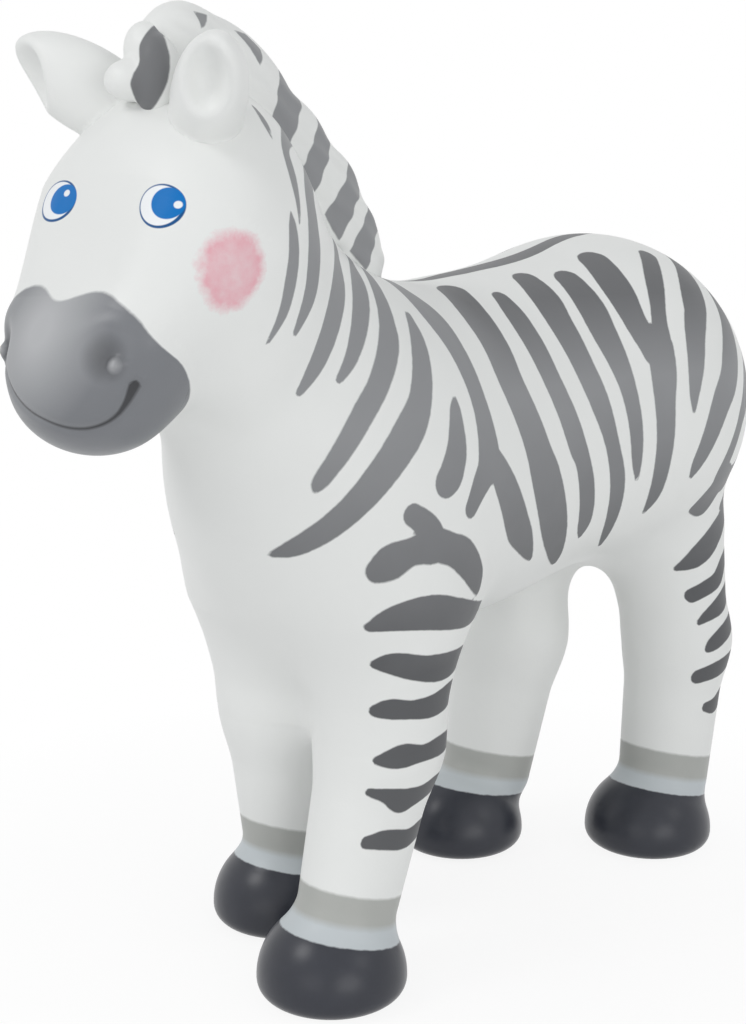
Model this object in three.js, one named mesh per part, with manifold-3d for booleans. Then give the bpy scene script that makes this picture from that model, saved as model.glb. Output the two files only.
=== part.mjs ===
// Toy zebra figure: a standing, chunky moulded animal with a short upright mane.
// Units are millimetres. X runs to the animal's left, Y to its back, Z up from the ground.
// The skin is one smooth blend of ellipsoids and tapered limbs, split into two half shells.
import * as THREE from "three";
import Module from "manifold-3d";

// Trunk: chest, barrel and rump, blended into one another
const CHEST_Y = -19.6;
const CHEST_Z = 61.0;
const CHEST_HALF_WIDTH = 18.4;
const CHEST_HALF_LENGTH = 19.4;
const CHEST_HALF_HEIGHT = 19.4;
const BARREL_Y = 6.0;
const BARREL_Z = 65.8;
const BARREL_HALF_WIDTH = 18.3;
const BARREL_HALF_LENGTH = 28.0;
const BARREL_HALF_HEIGHT = 19.3;
const RUMP_Y = 30.8;
const RUMP_Z = 65.7;
const RUMP_HALF_WIDTH = 23.5;
const RUMP_HALF_LENGTH = 19.5;
const RUMP_HALF_HEIGHT = 22.9;
const TRUNK_BLEND = 14.0;
const TRUNK_WALL = 6.0;

// Neck: from the withers up into the back of the head
const NECK_FOOT_Y = -22.9;
const NECK_FOOT_Z = 64.0;
const NECK_FOOT_RADIUS = 15.9;
const NECK_TOP_Y = -41.9;
const NECK_TOP_Z = 98.4;
const NECK_TOP_RADIUS = 9.2;
const NECK_FLATTENING = 0.935;
const NECK_BLEND = 12.0;

// Head: skull and tapering face, each with a flat stretch of the same half width in the middle
// and round sides, and a muzzle
const HEAD_FLAT = 6.6;
const SKULL_Y = -43.0;
const SKULL_Z = 88.5;
const SKULL_SIDE_RADIUS = 9.2;
const SKULL_HALF_LENGTH = 9.6;
const SKULL_HALF_HEIGHT = 15.7;
const FACE_TOP_Y = -47.6;
const FACE_TOP_Z = 92.5;
const FACE_TOP_RADIUS = 7.5;
const FACE_FRONT_Y = -56.1;
const FACE_FRONT_Z = 82.1;
const FACE_FRONT_RADIUS = 4.8;
const FACE_WIDENING = 1.33;
const FACE_BLEND = 6.8;
const MUZZLE_Y = -56.4;
const MUZZLE_Z = 76.6;
const MUZZLE_HALF_WIDTH = 10.4;
const MUZZLE_HALF_LENGTH = 8.4;
const MUZZLE_HALF_HEIGHT = 8.0;
const MUZZLE_BLEND = 5.4;
const HEAD_BLEND = 8.3;

// Legs: hip, knee, ankle and hoof. The stance is a slow walk, so each leg has its own Y values
const HIP_X = 9.5;
const HIP_Z = 46.0;
const KNEE_X = 9.8;
const KNEE_Z = 30.0;
const HOOF_X = 10.0;
const ANKLE_Z = 10.0;
const FORE_LEFT_HIP_Y = -21.7;
const FORE_LEFT_KNEE_Y = -22.4;
const FORE_LEFT_ANKLE_Y = -28.5;
const FORE_LEFT_HOOF_Y = -31.0;
const FORE_LEFT_HIP_RADIUS = 10.0;
const FORE_LEFT_KNEE_RADIUS = 7.4;
const FORE_LEFT_ANKLE_RADIUS = 6.1;
const FORE_RIGHT_HIP_Y = -20.6;
const FORE_RIGHT_KNEE_Y = -19.5;
const FORE_RIGHT_ANKLE_Y = -18.7;
const FORE_RIGHT_HOOF_Y = -20.5;
const FORE_RIGHT_HIP_RADIUS = 11.4;
const FORE_RIGHT_KNEE_RADIUS = 8.3;
const FORE_RIGHT_ANKLE_RADIUS = 6.3;
const HIND_LEFT_HIP_Y = 37.0;
const HIND_LEFT_KNEE_Y = 40.9;
const HIND_LEFT_ANKLE_Y = 38.3;
const HIND_LEFT_HOOF_Y = 34.7;
const HIND_LEFT_HIP_RADIUS = 8.6;
const HIND_LEFT_KNEE_RADIUS = 7.3;
const HIND_LEFT_ANKLE_RADIUS = 6.5;
const HIND_RIGHT_HIP_Y = 25.8;
const HIND_RIGHT_KNEE_Y = 25.7;
const HIND_RIGHT_ANKLE_Y = 21.4;
const HIND_RIGHT_HOOF_Y = 15.4;
const HIND_RIGHT_HIP_RADIUS = 7.8;
const HIND_RIGHT_KNEE_RADIUS = 8.5;
const HIND_RIGHT_ANKLE_RADIUS = 6.5;
const LEG_BLEND = 9.0;
const KNEE_BLEND = 3.0;
const HOOF_RADIUS = 9.2;
const HOOF_WIDEST_Z = 2.4;
const HOOF_HALF_HEIGHT = 8.8;
const HOOF_BLEND = 2.0;
const SOLE_EDGE = 2.4;

// Ears: leaning egg shapes with a dished front, each seated on the head by a plug
const EAR_SIDE_ANGLE = 28.5;
const EAR_PITCH_ANGLE = 74.0;
const EAR_LIFT = 2.5;
const EAR_HALF_WIDTH = 3.9;
const EAR_HALF_DEPTH = 5.1;
const EAR_HALF_LENGTH = 10.0;
const EAR_LEAN = [1.25, -0.77, 0.82];
const EAR_FACING = [0.74, -0.46, 0.55];
const EAR_UNEVENNESS = 0.5;
const DISH_FACING = [0.68, -0.72, 0.12];
const DISH_OUTSIDE = 0.2;
const DISH_RAISE = 0.3;
const DISH_HALF_WIDTH = 2.9;
const DISH_HALF_HEIGHT = 3.8;
const DISH_DEPTH = 2.6;

// Mane: tufts in a row up the neck and over the top of the head. Each is [distance along the
// neck from its foot, lift of its centre over the skin, half length, half height, tilt in degrees]
const MANE_HALF_WIDTH = 4.0;
const MANE_TUFTS = [
  [50.3, 1.4, 6.0, 6.7, 0],
  [43.4, 0.0, 11.7, 6.8, -38.6],
  [34.1, 1.7, 8.1, 6.7, -48.6],
  [28.0, 3.6, 7.2, 5.8, -38.5],
  [22.0, 2.7, 6.9, 5.4, -51.6],
  [18.1, 0.3, 5.2, 5.2, -53.4],
];
const MANE_PEGS_ALONG = [46.0, 30.0, 21.0];

// Forelock: three small curls on the forehead. Each is [side angle, pitch angle, lift over the
// skin, half width, half depth, half height]
const FORELOCK_CURLS = [
  [-0.3, 77.3, 4.0, 2.4, 2.3, 3.0],
  [-0.6, 69.4, 2.2, 2.6, 2.7, 2.2],
  [6.8, 74.5, 1.4, 2.4, 2.6, 4.6],
];
const FORELOCK_PEGGED_CURL = 1;

// Tail: a cord of hair down the back of the rump. Each point is [angle above the horizontal as
// seen from the rump's centre, lift over the skin, radius]
const TAIL_POINTS = [
  [41.5, 0.8, 3.0],
  [24.0, 2.2, 2.7],
  [4.0, 2.8, 2.6],
  [-16.0, 3.4, 3.0],
  [-32.0, 5.4, 4.0],
  [-44.0, 8.4, 3.6],
  [-51.0, 12.2, 1.5],
];

// Fits: seams, plugs and locating pins
const FIT = 0.3;
const EAR_PEG_RADIUS = 1.7;
const EAR_PEG_DEPTH = 4.0;
const MANE_PEG_RADIUS = 1.3;
const MANE_PEG_DEPTH = 3.5;
const FORELOCK_PEG_RADIUS = 1.0;
const FORELOCK_PEG_DEPTH = 3.0;
const TAIL_PEG_RADIUS = 1.5;
const TAIL_PEG_DEPTH = 4.0;
const PEG_ROOT = 1.2;
const PIN_RADIUS = 1.5;
const PIN_LENGTH = 4.0;
const PIN_ANGLES = [-90, -165, 90, 5];
const HEAD_PIN_RADIUS = 2.2;

// Facet sizes and counts of the skins
const BODY_FACET_X = 3.3;
const BODY_FACET_Y = 3.7;
const BODY_FACET_Z = 3.8;
const HOOF_FACET_Z = 2.4;
const HOOF_FACET_TOP = 15.0;
const CAVITY_FACET = 5.0;
const REFINEMENT_STEPS = 3;
const PEG_SIDES = 16;
const EGG_SIDES = 14;
const EGG_RINGS = 10;
const ROPE_SIDES = 12;
const ROPE_STATIONS = 16;

const TINY = 1e-6;
const UNTANGLE_PASSES = 20;

const wasm = await Module();
wasm.setup();

const radians = (degrees) => (degrees * Math.PI) / 180;
const dot = (a, b) => a[0] * b[0] + a[1] * b[1] + a[2] * b[2];
const plus = (a, b, k = 1) => [a[0] + b[0] * k, a[1] + b[1] * k, a[2] + b[2] * k];
const cross = (a, b) => [
  a[1] * b[2] - a[2] * b[1],
  a[2] * b[0] - a[0] * b[2],
  a[0] * b[1] - a[1] * b[0],
];
const unit = (a) => {
  const size = Math.hypot(...a);
  return a.map((value) => value / size);
};

// Smooth join and cut of two distance values; a join swells by a quarter of its blend at most
function blend(a, b, k) {
  const h = Math.max(k - Math.abs(a - b), 0) / k;
  return Math.min(a, b) - (h * h * k) / 4;
}
function carve(a, b, k) {
  return -blend(-a, b, k);
}

// Every round lump of the skin, kept so that the grid of facets is laid round them all
const lumps = [];

// Distance to an ellipsoid
function egg(centre, half) {
  lumps.push({ centre, half });
  return (p) => {
    const q = plus(p, centre, -1);
    const k0 = Math.hypot(q[0] / half[0], q[1] / half[1], q[2] / half[2]);
    const k1 = Math.hypot(q[0] / half[0] ** 2, q[1] / half[1] ** 2, q[2] / half[2] ** 2);
    return k1 < TINY ? -Math.min(...half) : (k0 * (k0 - 1)) / k1;
  };
}

// Distance to a tapered limb with round ends; widening stretches it along X
function limb(a, b, radiusA, radiusB, widening = 1) {
  lumps.push({ centre: a, half: [radiusA * widening, radiusA, radiusA] });
  lumps.push({ centre: b, half: [radiusB * widening, radiusB, radiusB] });
  const start = [a[0] / widening, a[1], a[2]];
  const run = plus([b[0] / widening, b[1], b[2]], start, -1);
  const runSquared = dot(run, run);
  return (p) => {
    const q = [p[0] / widening - start[0], p[1] - start[1], p[2] - start[2]];
    const h = Math.min(Math.max(dot(q, run) / runSquared, 0), 1);
    const distance = Math.hypot(...plus(q, run, -h)) - (radiusA + (radiusB - radiusA) * h);
    return distance * Math.min(1, widening);
  };
}

const chest = egg([0, CHEST_Y, CHEST_Z], [CHEST_HALF_WIDTH, CHEST_HALF_LENGTH, CHEST_HALF_HEIGHT]);
const barrel = egg([0, BARREL_Y, BARREL_Z], [BARREL_HALF_WIDTH, BARREL_HALF_LENGTH, BARREL_HALF_HEIGHT]);
const rump = egg([0, RUMP_Y, RUMP_Z], [RUMP_HALF_WIDTH, RUMP_HALF_LENGTH, RUMP_HALF_HEIGHT]);
const trunk = (p) => blend(blend(chest(p), barrel(p), TRUNK_BLEND), rump(p), TRUNK_BLEND);

const neckFoot = [0, NECK_FOOT_Y, NECK_FOOT_Z];
const neckTop = [0, NECK_TOP_Y, NECK_TOP_Z];
const neck = limb(neckFoot, neckTop, NECK_FOOT_RADIUS, NECK_TOP_RADIUS, NECK_FLATTENING);

const skullCentre = [0, SKULL_Y, SKULL_Z];
const skull = egg(skullCentre, [SKULL_SIDE_RADIUS, SKULL_HALF_LENGTH, SKULL_HALF_HEIGHT]);
const face = limb(
  [0, FACE_TOP_Y, FACE_TOP_Z],
  [0, FACE_FRONT_Y, FACE_FRONT_Z],
  FACE_TOP_RADIUS,
  FACE_FRONT_RADIUS,
  FACE_WIDENING,
);
const muzzle = egg([0, MUZZLE_Y, MUZZLE_Z], [MUZZLE_HALF_WIDTH, MUZZLE_HALF_LENGTH, MUZZLE_HALF_HEIGHT]);

function head(p) {
  const beside = [Math.max(Math.abs(p[0]) - HEAD_FLAT, 0), p[1], p[2]];
  return blend(blend(skull(beside), face(beside), FACE_BLEND), muzzle(p), MUZZLE_BLEND);
}

// One leg with its hoof, on the side given by +1 or -1
function leg(side, hipY, kneeY, ankleY, hoofY, hipRadius, kneeRadius, ankleRadius) {
  const hip = [side * HIP_X, hipY, HIP_Z];
  const knee = [side * KNEE_X, kneeY, KNEE_Z];
  const ankle = [side * HOOF_X, ankleY, ANKLE_Z];
  const thigh = limb(hip, knee, hipRadius, kneeRadius);
  const shin = limb(knee, ankle, kneeRadius, ankleRadius);
  const hoof = egg([side * HOOF_X, hoofY, HOOF_WIDEST_Z], [HOOF_RADIUS, HOOF_RADIUS, HOOF_HALF_HEIGHT]);
  return (p) => blend(blend(thigh(p), shin(p), KNEE_BLEND), hoof(p), HOOF_BLEND);
}

const legs = [
  leg(1, FORE_LEFT_HIP_Y, FORE_LEFT_KNEE_Y, FORE_LEFT_ANKLE_Y, FORE_LEFT_HOOF_Y,
    FORE_LEFT_HIP_RADIUS, FORE_LEFT_KNEE_RADIUS, FORE_LEFT_ANKLE_RADIUS),
  leg(-1, FORE_RIGHT_HIP_Y, FORE_RIGHT_KNEE_Y, FORE_RIGHT_ANKLE_Y, FORE_RIGHT_HOOF_Y,
    FORE_RIGHT_HIP_RADIUS, FORE_RIGHT_KNEE_RADIUS, FORE_RIGHT_ANKLE_RADIUS),
  leg(1, HIND_LEFT_HIP_Y, HIND_LEFT_KNEE_Y, HIND_LEFT_ANKLE_Y, HIND_LEFT_HOOF_Y,
    HIND_LEFT_HIP_RADIUS, HIND_LEFT_KNEE_RADIUS, HIND_LEFT_ANKLE_RADIUS),
  leg(-1, HIND_RIGHT_HIP_Y, HIND_RIGHT_KNEE_Y, HIND_RIGHT_ANKLE_Y, HIND_RIGHT_HOOF_Y,
    HIND_RIGHT_HIP_RADIUS, HIND_RIGHT_KNEE_RADIUS, HIND_RIGHT_ANKLE_RADIUS),
];

// The whole skin: negative inside, flat on the ground at the soles
function skin(p) {
  let d = blend(trunk(p), neck(p), NECK_BLEND);
  for (const one of legs) d = blend(d, one(p), LEG_BLEND);
  d = blend(d, head(p), HEAD_BLEND);
  return carve(d, p[2], SOLE_EDGE);
}

// Distance from an inner point to the skin along a direction
function reach(origin, direction, field = skin, level = 0) {
  let low = 0;
  let high = 1;
  while (field(plus(origin, direction, high)) < level) high += 1;
  low = high - 1;
  for (let i = 0; i < 30; i += 1) {
    const middle = (low + high) / 2;
    if (field(plus(origin, direction, middle)) < level) low = middle;
    else high = middle;
  }
  return (low + high) / 2;
}

// Directions on the head: a side angle out to the left, and a pitch from the nose up
function headDirection(side, pitch) {
  const s = radians(side);
  const t = radians(pitch);
  return [Math.sin(s), -Math.cos(s) * Math.cos(t), Math.cos(s) * Math.sin(t)];
}

// Places over the skin: the seat on the skin, its outward direction and the lifted centre
function seat(origin, direction, lift) {
  const length = reach(origin, direction);
  return {
    foot: plus(origin, direction, length),
    direction,
    centre: plus(origin, direction, length + lift),
  };
}

const neckAxis = unit(plus(neckTop, neckFoot, -1));
const neckNormal = [0, neckAxis[2], -neckAxis[1]];
const neckLength = Math.hypot(...plus(neckTop, neckFoot, -1));

// A place on the crest: up along the neck, then round over the top of the head
function crestSeat(along, lift) {
  const past = Math.max(along - neckLength, 0) / NECK_TOP_RADIUS;
  const origin = plus(neckFoot, neckAxis, Math.min(along, neckLength));
  const upright = neckNormal.map((value) => value * Math.cos(past));
  return seat(origin, plus(upright, neckAxis, Math.sin(past)), lift);
}

// Left ear: its seat, its long axis, and the dish in its front
const earSeat = seat(skullCentre, headDirection(EAR_SIDE_ANGLE, EAR_PITCH_ANGLE), EAR_LIFT);
const earLong = unit(EAR_LEAN);
const earOut = unit(plus(EAR_FACING, earLong, -dot(EAR_FACING, earLong)));
const earAcross = cross(earLong, earOut);
const dishOut = unit(DISH_FACING);
const dishAcross = unit(cross([0, 0, 1], dishOut));
const dishUp = cross(dishOut, dishAcross);
const earReach = Math.hypot(
  dot(dishOut, earAcross) * EAR_HALF_WIDTH,
  dot(dishOut, earOut) * EAR_HALF_DEPTH,
  dot(dishOut, earLong) * EAR_HALF_LENGTH,
);
const dishCentre = plus(plus(earSeat.centre, dishOut, earReach + DISH_OUTSIDE), [0, 0, DISH_RAISE]);

const rumpCentre = [0, RUMP_Y, RUMP_Z];
const tailSeats = TAIL_POINTS.map(([angle, lift]) =>
  seat(rumpCentre, [0, Math.cos(radians(angle)), Math.sin(radians(angle))], lift));

// Corner patterns of a cell whose inside or outside corners are not in one piece
const CORNERS = [0, 1, 2, 3, 4, 5, 6, 7].map((c) => [c & 1, (c >> 1) & 1, (c >> 2) & 1]);
function inOnePiece(pattern, state) {
  const members = CORNERS.map((_, c) => c).filter((c) => ((pattern >> c) & 1) === state);
  if (members.length < 2) return true;
  const found = new Set([members[0]]);
  const queue = [members[0]];
  while (queue.length) {
    const c = queue.pop();
    for (const bit of [1, 2, 4]) {
      const next = c ^ bit;
      if (members.includes(next) && !found.has(next)) {
        found.add(next);
        queue.push(next);
      }
    }
  }
  return found.size === members.length;
}
const SIMPLE = Array.from({ length: 256 }, (_, pattern) =>
  inOnePiece(pattern, 1) && inOnePiece(pattern, 0));

// Grid lines from low to high, one step apart
function gridLines(low, high, step) {
  const count = Math.ceil((high - low) / step);
  return Array.from({ length: count + 1 }, (_, i) => low + i * step);
}

// Closed skin of a distance field on a box grid: one vertex per crossed cell, moved onto the field
function skinGeometry(field, xs, ys, zs) {
  const size = [xs.length, ys.length, zs.length];
  const at = (i, j, k) => (i * size[1] + j) * size[2] + k;
  const values = new Float64Array(size[0] * size[1] * size[2]);
  xs.forEach((x, i) => ys.forEach((y, j) => zs.forEach((z, k) => {
    values[at(i, j, k)] = field([x, y, z]) || TINY;
  })));
  const cellPattern = (i, j, k) => CORNERS.reduce((pattern, c, n) =>
    pattern | (values[at(i + c[0], j + c[1], k + c[2])] < 0 ? 1 << n : 0), 0);

  // Cells with two sheets in them are made plain by turning their weakest corner over
  for (let pass = 0, changed = true; changed && pass < UNTANGLE_PASSES; pass += 1) {
    changed = false;
    for (let i = 0; i < size[0] - 1; i += 1) {
      for (let j = 0; j < size[1] - 1; j += 1) {
        for (let k = 0; k < size[2] - 1; k += 1) {
          if (SIMPLE[cellPattern(i, j, k)]) continue;
          const corners = CORNERS.map((c) => at(i + c[0], j + c[1], k + c[2]));
          const weakest = corners.reduce((a, b) => (Math.abs(values[b]) < Math.abs(values[a]) ? b : a));
          values[weakest] = values[weakest] < 0 ? TINY : -TINY;
          changed = true;
        }
      }
    }
  }

  const vertexOf = new Int32Array(values.length).fill(-1);
  const points = [];
  const cellStep = Math.min(xs[1] - xs[0], ys[1] - ys[0], zs[1] - zs[0]);
  for (let i = 0; i < size[0] - 1; i += 1) {
    for (let j = 0; j < size[1] - 1; j += 1) {
      for (let k = 0; k < size[2] - 1; k += 1) {
        const pattern = cellPattern(i, j, k);
        if (pattern === 0 || pattern === 255) continue;
        vertexOf[at(i, j, k)] = points.length;
        points.push(settle(field, crossingMean(values, at, xs, ys, zs, i, j, k), cellStep));
      }
    }
  }

  const triangles = [];
  const addQuad = (a, b, c, d, outward) => {
    const [p, q, r, s] = [a, b, c, d].map((v) => points[v]);
    const cutAC = Math.hypot(...plus(p, r, -1)) < Math.hypot(...plus(q, s, -1));
    const two = cutAC ? [[a, b, c], [a, c, d]] : [[a, b, d], [b, c, d]];
    for (const t of two) triangles.push(...(outward ? t : [t[0], t[2], t[1]]));
  };
  for (let i = 1; i < size[0] - 1; i += 1) {
    for (let j = 1; j < size[1] - 1; j += 1) {
      for (let k = 1; k < size[2] - 1; k += 1) {
        const inside = values[at(i, j, k)] < 0;
        const v = (a, b, c) => vertexOf[at(i - a, j - b, k - c)];
        if (inside !== (values[at(i + 1, j, k)] < 0)) {
          addQuad(v(0, 1, 1), v(0, 0, 1), v(0, 0, 0), v(0, 1, 0), inside);
        }
        if (inside !== (values[at(i, j + 1, k)] < 0)) {
          addQuad(v(1, 0, 1), v(1, 0, 0), v(0, 0, 0), v(0, 0, 1), inside);
        }
        if (inside !== (values[at(i, j, k + 1)] < 0)) {
          addQuad(v(1, 1, 0), v(0, 1, 0), v(0, 0, 0), v(1, 0, 0), inside);
        }
      }
    }
  }
  const geometry = new THREE.BufferGeometry();
  geometry.setAttribute("position", new THREE.Float32BufferAttribute(points.flat(), 3));
  geometry.setIndex(triangles);
  return geometry;
}

// Mean of the points where the skin crosses the edges of one cell
function crossingMean(values, at, xs, ys, zs, i, j, k) {
  const sum = [0, 0, 0];
  let count = 0;
  CORNERS.forEach((c, n) => [1, 2, 4].forEach((bit, axis) => {
    if (n & bit) return;
    const e = CORNERS[n | bit];
    const a = values[at(i + c[0], j + c[1], k + c[2])];
    const b = values[at(i + e[0], j + e[1], k + e[2])];
    if ((a < 0) === (b < 0)) return;
    const t = a / (a - b);
    const place = [c[0], c[1], c[2]];
    place[axis] = t;
    sum[0] += xs[i] + (xs[i + 1] - xs[i]) * place[0];
    sum[1] += ys[j] + (ys[j + 1] - ys[j]) * place[1];
    sum[2] += zs[k] + (zs[k + 1] - zs[k]) * place[2];
    count += 1;
  }));
  return sum.map((value) => value / count);
}

// A point moved along the slope of the field until it lies on the skin
function settle(field, start, cellStep) {
  const h = 1e-3;
  let p = start;
  for (let n = 0; n < REFINEMENT_STEPS; n += 1) {
    const value = field(p);
    const slope = [0, 1, 2].map((axis) => {
      const e = [0, 0, 0];
      e[axis] = h;
      return (field(plus(p, e)) - field(plus(p, e, -1))) / (2 * h);
    });
    const steepness = Math.max(dot(slope, slope), TINY);
    const step = Math.max(Math.min(value / steepness, cellStep / 2), -cellStep / 2);
    p = plus(p, slope, -step);
  }
  if (Math.abs(p[2]) < h) p[2] = 0;
  return p;
}

// Solids for joining and cutting
function solid(geometry) {
  const position = geometry.getAttribute("position").array;
  const triVerts = Uint32Array.from(geometry.getIndex().array);
  const mesh = new wasm.Mesh({ numProp: 3, vertProperties: Float32Array.from(position), triVerts });
  mesh.merge();
  return new wasm.Manifold(mesh);
}

function placed(geometry, matrix) {
  const plain = geometry.clone().applyMatrix4(matrix);
  plain.deleteAttribute("normal");
  plain.deleteAttribute("uv");
  return solid(plain);
}

// A solid ellipsoid on three axes
function eggSolid(centre, half, axes) {
  const [x, y, z] = axes.map((axis, i) => new THREE.Vector3(...axis).multiplyScalar(half[i]));
  const matrix = new THREE.Matrix4().makeBasis(x, y, z).setPosition(...centre);
  return placed(new THREE.SphereGeometry(1, EGG_SIDES, EGG_RINGS), matrix);
}

// A closed tube down the seam plane, with the radius given at each of its points, and round ends
function rope(centres, radii) {
  const path = new THREE.CatmullRomCurve3(
    centres.map((centre) => new THREE.Vector3(...centre)),
    false,
    "catmullrom",
  );
  const girth = new THREE.CatmullRomCurve3(
    radii.map((radius, i) => new THREE.Vector3(radius, i, 0)),
    false,
    "catmullrom",
  );
  const points = [centres[0], centres[centres.length - 1]];
  const triangles = [];
  for (let n = 0; n <= ROPE_STATIONS; n += 1) {
    const middle = path.getPoint(n / ROPE_STATIONS);
    const tangent = path.getTangent(n / ROPE_STATIONS);
    const radius = girth.getPoint(n / ROPE_STATIONS).x;
    for (let m = 0; m < ROPE_SIDES; m += 1) {
      const turn = (2 * Math.PI * m) / ROPE_SIDES;
      const out = radius * Math.sin(turn);
      const y = middle.y - tangent.z * out;
      const z = middle.z + tangent.y * out;
      points.push([radius * Math.cos(turn), y, z]);
    }
  }
  const ring = (n, m) => 2 + n * ROPE_SIDES + (m % ROPE_SIDES);
  for (let m = 0; m < ROPE_SIDES; m += 1) {
    triangles.push(0, ring(0, m), ring(0, m + 1));
    triangles.push(1, ring(ROPE_STATIONS, m + 1), ring(ROPE_STATIONS, m));
    for (let n = 0; n < ROPE_STATIONS; n += 1) {
      triangles.push(ring(n, m), ring(n + 1, m + 1), ring(n, m + 1));
      triangles.push(ring(n, m), ring(n + 1, m), ring(n + 1, m + 1));
    }
  }
  const geometry = new THREE.BufferGeometry();
  geometry.setAttribute("position", new THREE.Float32BufferAttribute(points.flat(), 3));
  geometry.setIndex(triangles);
  const upright = [[1, 0, 0], [0, 1, 0], [0, 0, 1]];
  let whole = solid(geometry);
  [0, centres.length - 1].forEach((end) => {
    whole = whole.add(eggSolid(centres[end], [radii[end], radii[end], radii[end]], upright));
  });
  return whole;
}

// A round bar from one point along a direction
function bar(start, direction, radius, length) {
  const turn = new THREE.Quaternion().setFromUnitVectors(
    new THREE.Vector3(0, 1, 0),
    new THREE.Vector3(...direction),
  );
  const middle = new THREE.Vector3(...plus(start, direction, length / 2));
  const matrix = new THREE.Matrix4().compose(middle, turn, new THREE.Vector3(1, 1, 1));
  return placed(new THREE.CylinderGeometry(radius, radius, length, PEG_SIDES), matrix);
}

// The box of space on one side of the seam, where the two halves are bonded face to face
function halfSpace(side) {
  const across = 4 * RUMP_HALF_WIDTH;
  const long = 8 * (RUMP_Y - SKULL_Y);
  const matrix = new THREE.Matrix4().makeTranslation((side * across) / 2, 0, 0);
  return placed(new THREE.BoxGeometry(across, long, long), matrix);
}

// Grid lines round the whole skin, mirrored about the seam and finer at the hooves
const swellMost = Math.max(TRUNK_BLEND, NECK_BLEND, LEG_BLEND, HEAD_BLEND) / 4 + 2 * FIT;
const lowest = (axis) => Math.min(...lumps.map((one) => one.centre[axis] - one.half[axis])) - swellMost;
const highest = (axis) => Math.max(...lumps.map((one) => one.centre[axis] + one.half[axis])) + swellMost;
const columns = Math.ceil(highest(0) / BODY_FACET_X) + 1.5;
const columnLines = gridLines(-columns * BODY_FACET_X, highest(0) + BODY_FACET_X, BODY_FACET_X);
const lengthLines = gridLines(lowest(1) - BODY_FACET_Y, highest(1) + BODY_FACET_Y, BODY_FACET_Y);
const hoofLines = gridLines(-1.5 * HOOF_FACET_Z, HOOF_FACET_TOP, HOOF_FACET_Z);
const hoofTop = hoofLines[hoofLines.length - 1];
const upperLines = gridLines(hoofTop + BODY_FACET_Z, highest(2) + BODY_FACET_Z, BODY_FACET_Z);
const bodyGrid = [columnLines, lengthLines, [...hoofLines, ...upperLines]];

const bodySolid = solid(skinGeometry(skin, ...bodyGrid));
const seatSolid = solid(skinGeometry((p) => skin(p) - FIT, ...bodyGrid));

// Hollow of the trunk, kept a wall's thickness inside it
const cavitySolid = solid(skinGeometry(
  (p) => trunk(p) + TRUNK_WALL,
  gridLines(lowest(0) - CAVITY_FACET, highest(0), CAVITY_FACET),
  gridLines(lowest(1), highest(1), CAVITY_FACET),
  gridLines(lowest(2), highest(2), CAVITY_FACET),
));

// A plug below a seat and the socket that takes it
function plug(place, radius, depth) {
  const start = plus(place.foot, place.direction, PEG_ROOT);
  const inward = place.direction.map((value) => -value);
  return {
    peg: bar(start, inward, radius, depth + PEG_ROOT),
    socket: bar(start, inward, radius + FIT, depth + PEG_ROOT + FIT),
  };
}

const mirrored = (place) => ({
  foot: [-place.foot[0], place.foot[1], place.foot[2]],
  direction: [-place.direction[0], place.direction[1], place.direction[2]],
});
const shifted = (place, dz) => ({ ...place, foot: plus(place.foot, [0, 0, dz]) });

const manePlugs = MANE_PEGS_ALONG.map((along) =>
  plug(crestSeat(along, 0), MANE_PEG_RADIUS, MANE_PEG_DEPTH));
const forelockPlug = plug(
  seat(skullCentre, headDirection(0, FORELOCK_CURLS[FORELOCK_PEGGED_CURL][1]), 0),
  FORELOCK_PEG_RADIUS,
  FORELOCK_PEG_DEPTH,
);
const tailPlug = plug(tailSeats[0], TAIL_PEG_RADIUS, TAIL_PEG_DEPTH);
const earPlugs = {
  1: plug(shifted(earSeat, -EAR_UNEVENNESS), EAR_PEG_RADIUS, EAR_PEG_DEPTH),
  "-1": plug(shifted(mirrored(earSeat), EAR_UNEVENNESS), EAR_PEG_RADIUS, EAR_PEG_DEPTH),
};

const union = (solids) => solids.reduce((a, b) => a.add(b));
const grown = (half, allowance) => half.map((value) => value + allowance);

// Mane, forelock and ears, each also grown by the fit so that its neighbours can be cut clear
const maneShape = (allowance) => union(MANE_TUFTS.map(([along, lift, halfLength, halfHeight, tilt]) => {
  const c = Math.cos(radians(tilt));
  const s = Math.sin(radians(tilt));
  const half = grown([MANE_HALF_WIDTH, halfLength, halfHeight], allowance);
  return eggSolid(crestSeat(along, lift).centre, half, [[1, 0, 0], [0, c, s], [0, -s, c]]);
}));
const maneClear = maneShape(FIT);
const maneSolid = union([maneShape(0).subtract(seatSolid), ...manePlugs.map((one) => one.peg)]);

const forelockShape = (allowance) => union(FORELOCK_CURLS.map((curl) => {
  const [side, pitch, lift, ...half] = curl;
  const centre = seat(skullCentre, headDirection(side, pitch), lift).centre;
  return eggSolid(centre, grown(half, allowance), [[1, 0, 0], [0, 1, 0], [0, 0, 1]]);
}));
const forelockClear = forelockShape(FIT);
const forelockSolid = forelockShape(0).subtract(seatSolid).add(forelockPlug.peg).subtract(maneClear);

function earSolid(side) {
  const mirror = (v) => [side * v[0], v[1], v[2]];
  const offset = [0, 0, -side * EAR_UNEVENNESS];
  const across = mirror(earAcross).map((value) => side * value);
  const dishSide = mirror(dishAcross).map((value) => side * value);
  const shell = eggSolid(
    plus(mirror(earSeat.centre), offset),
    [EAR_HALF_WIDTH, EAR_HALF_LENGTH, EAR_HALF_DEPTH],
    [across, mirror(earLong), mirror(earOut)],
  );
  const dish = eggSolid(
    plus(mirror(dishCentre), offset),
    [DISH_HALF_WIDTH, DISH_HALF_HEIGHT, DISH_DEPTH],
    [dishSide, mirror(dishUp), mirror(dishOut)],
  );
  const seated = shell.subtract(dish).subtract(seatSolid);
  return seated.subtract(maneClear).subtract(forelockClear).add(earPlugs[side].peg);
}

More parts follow.
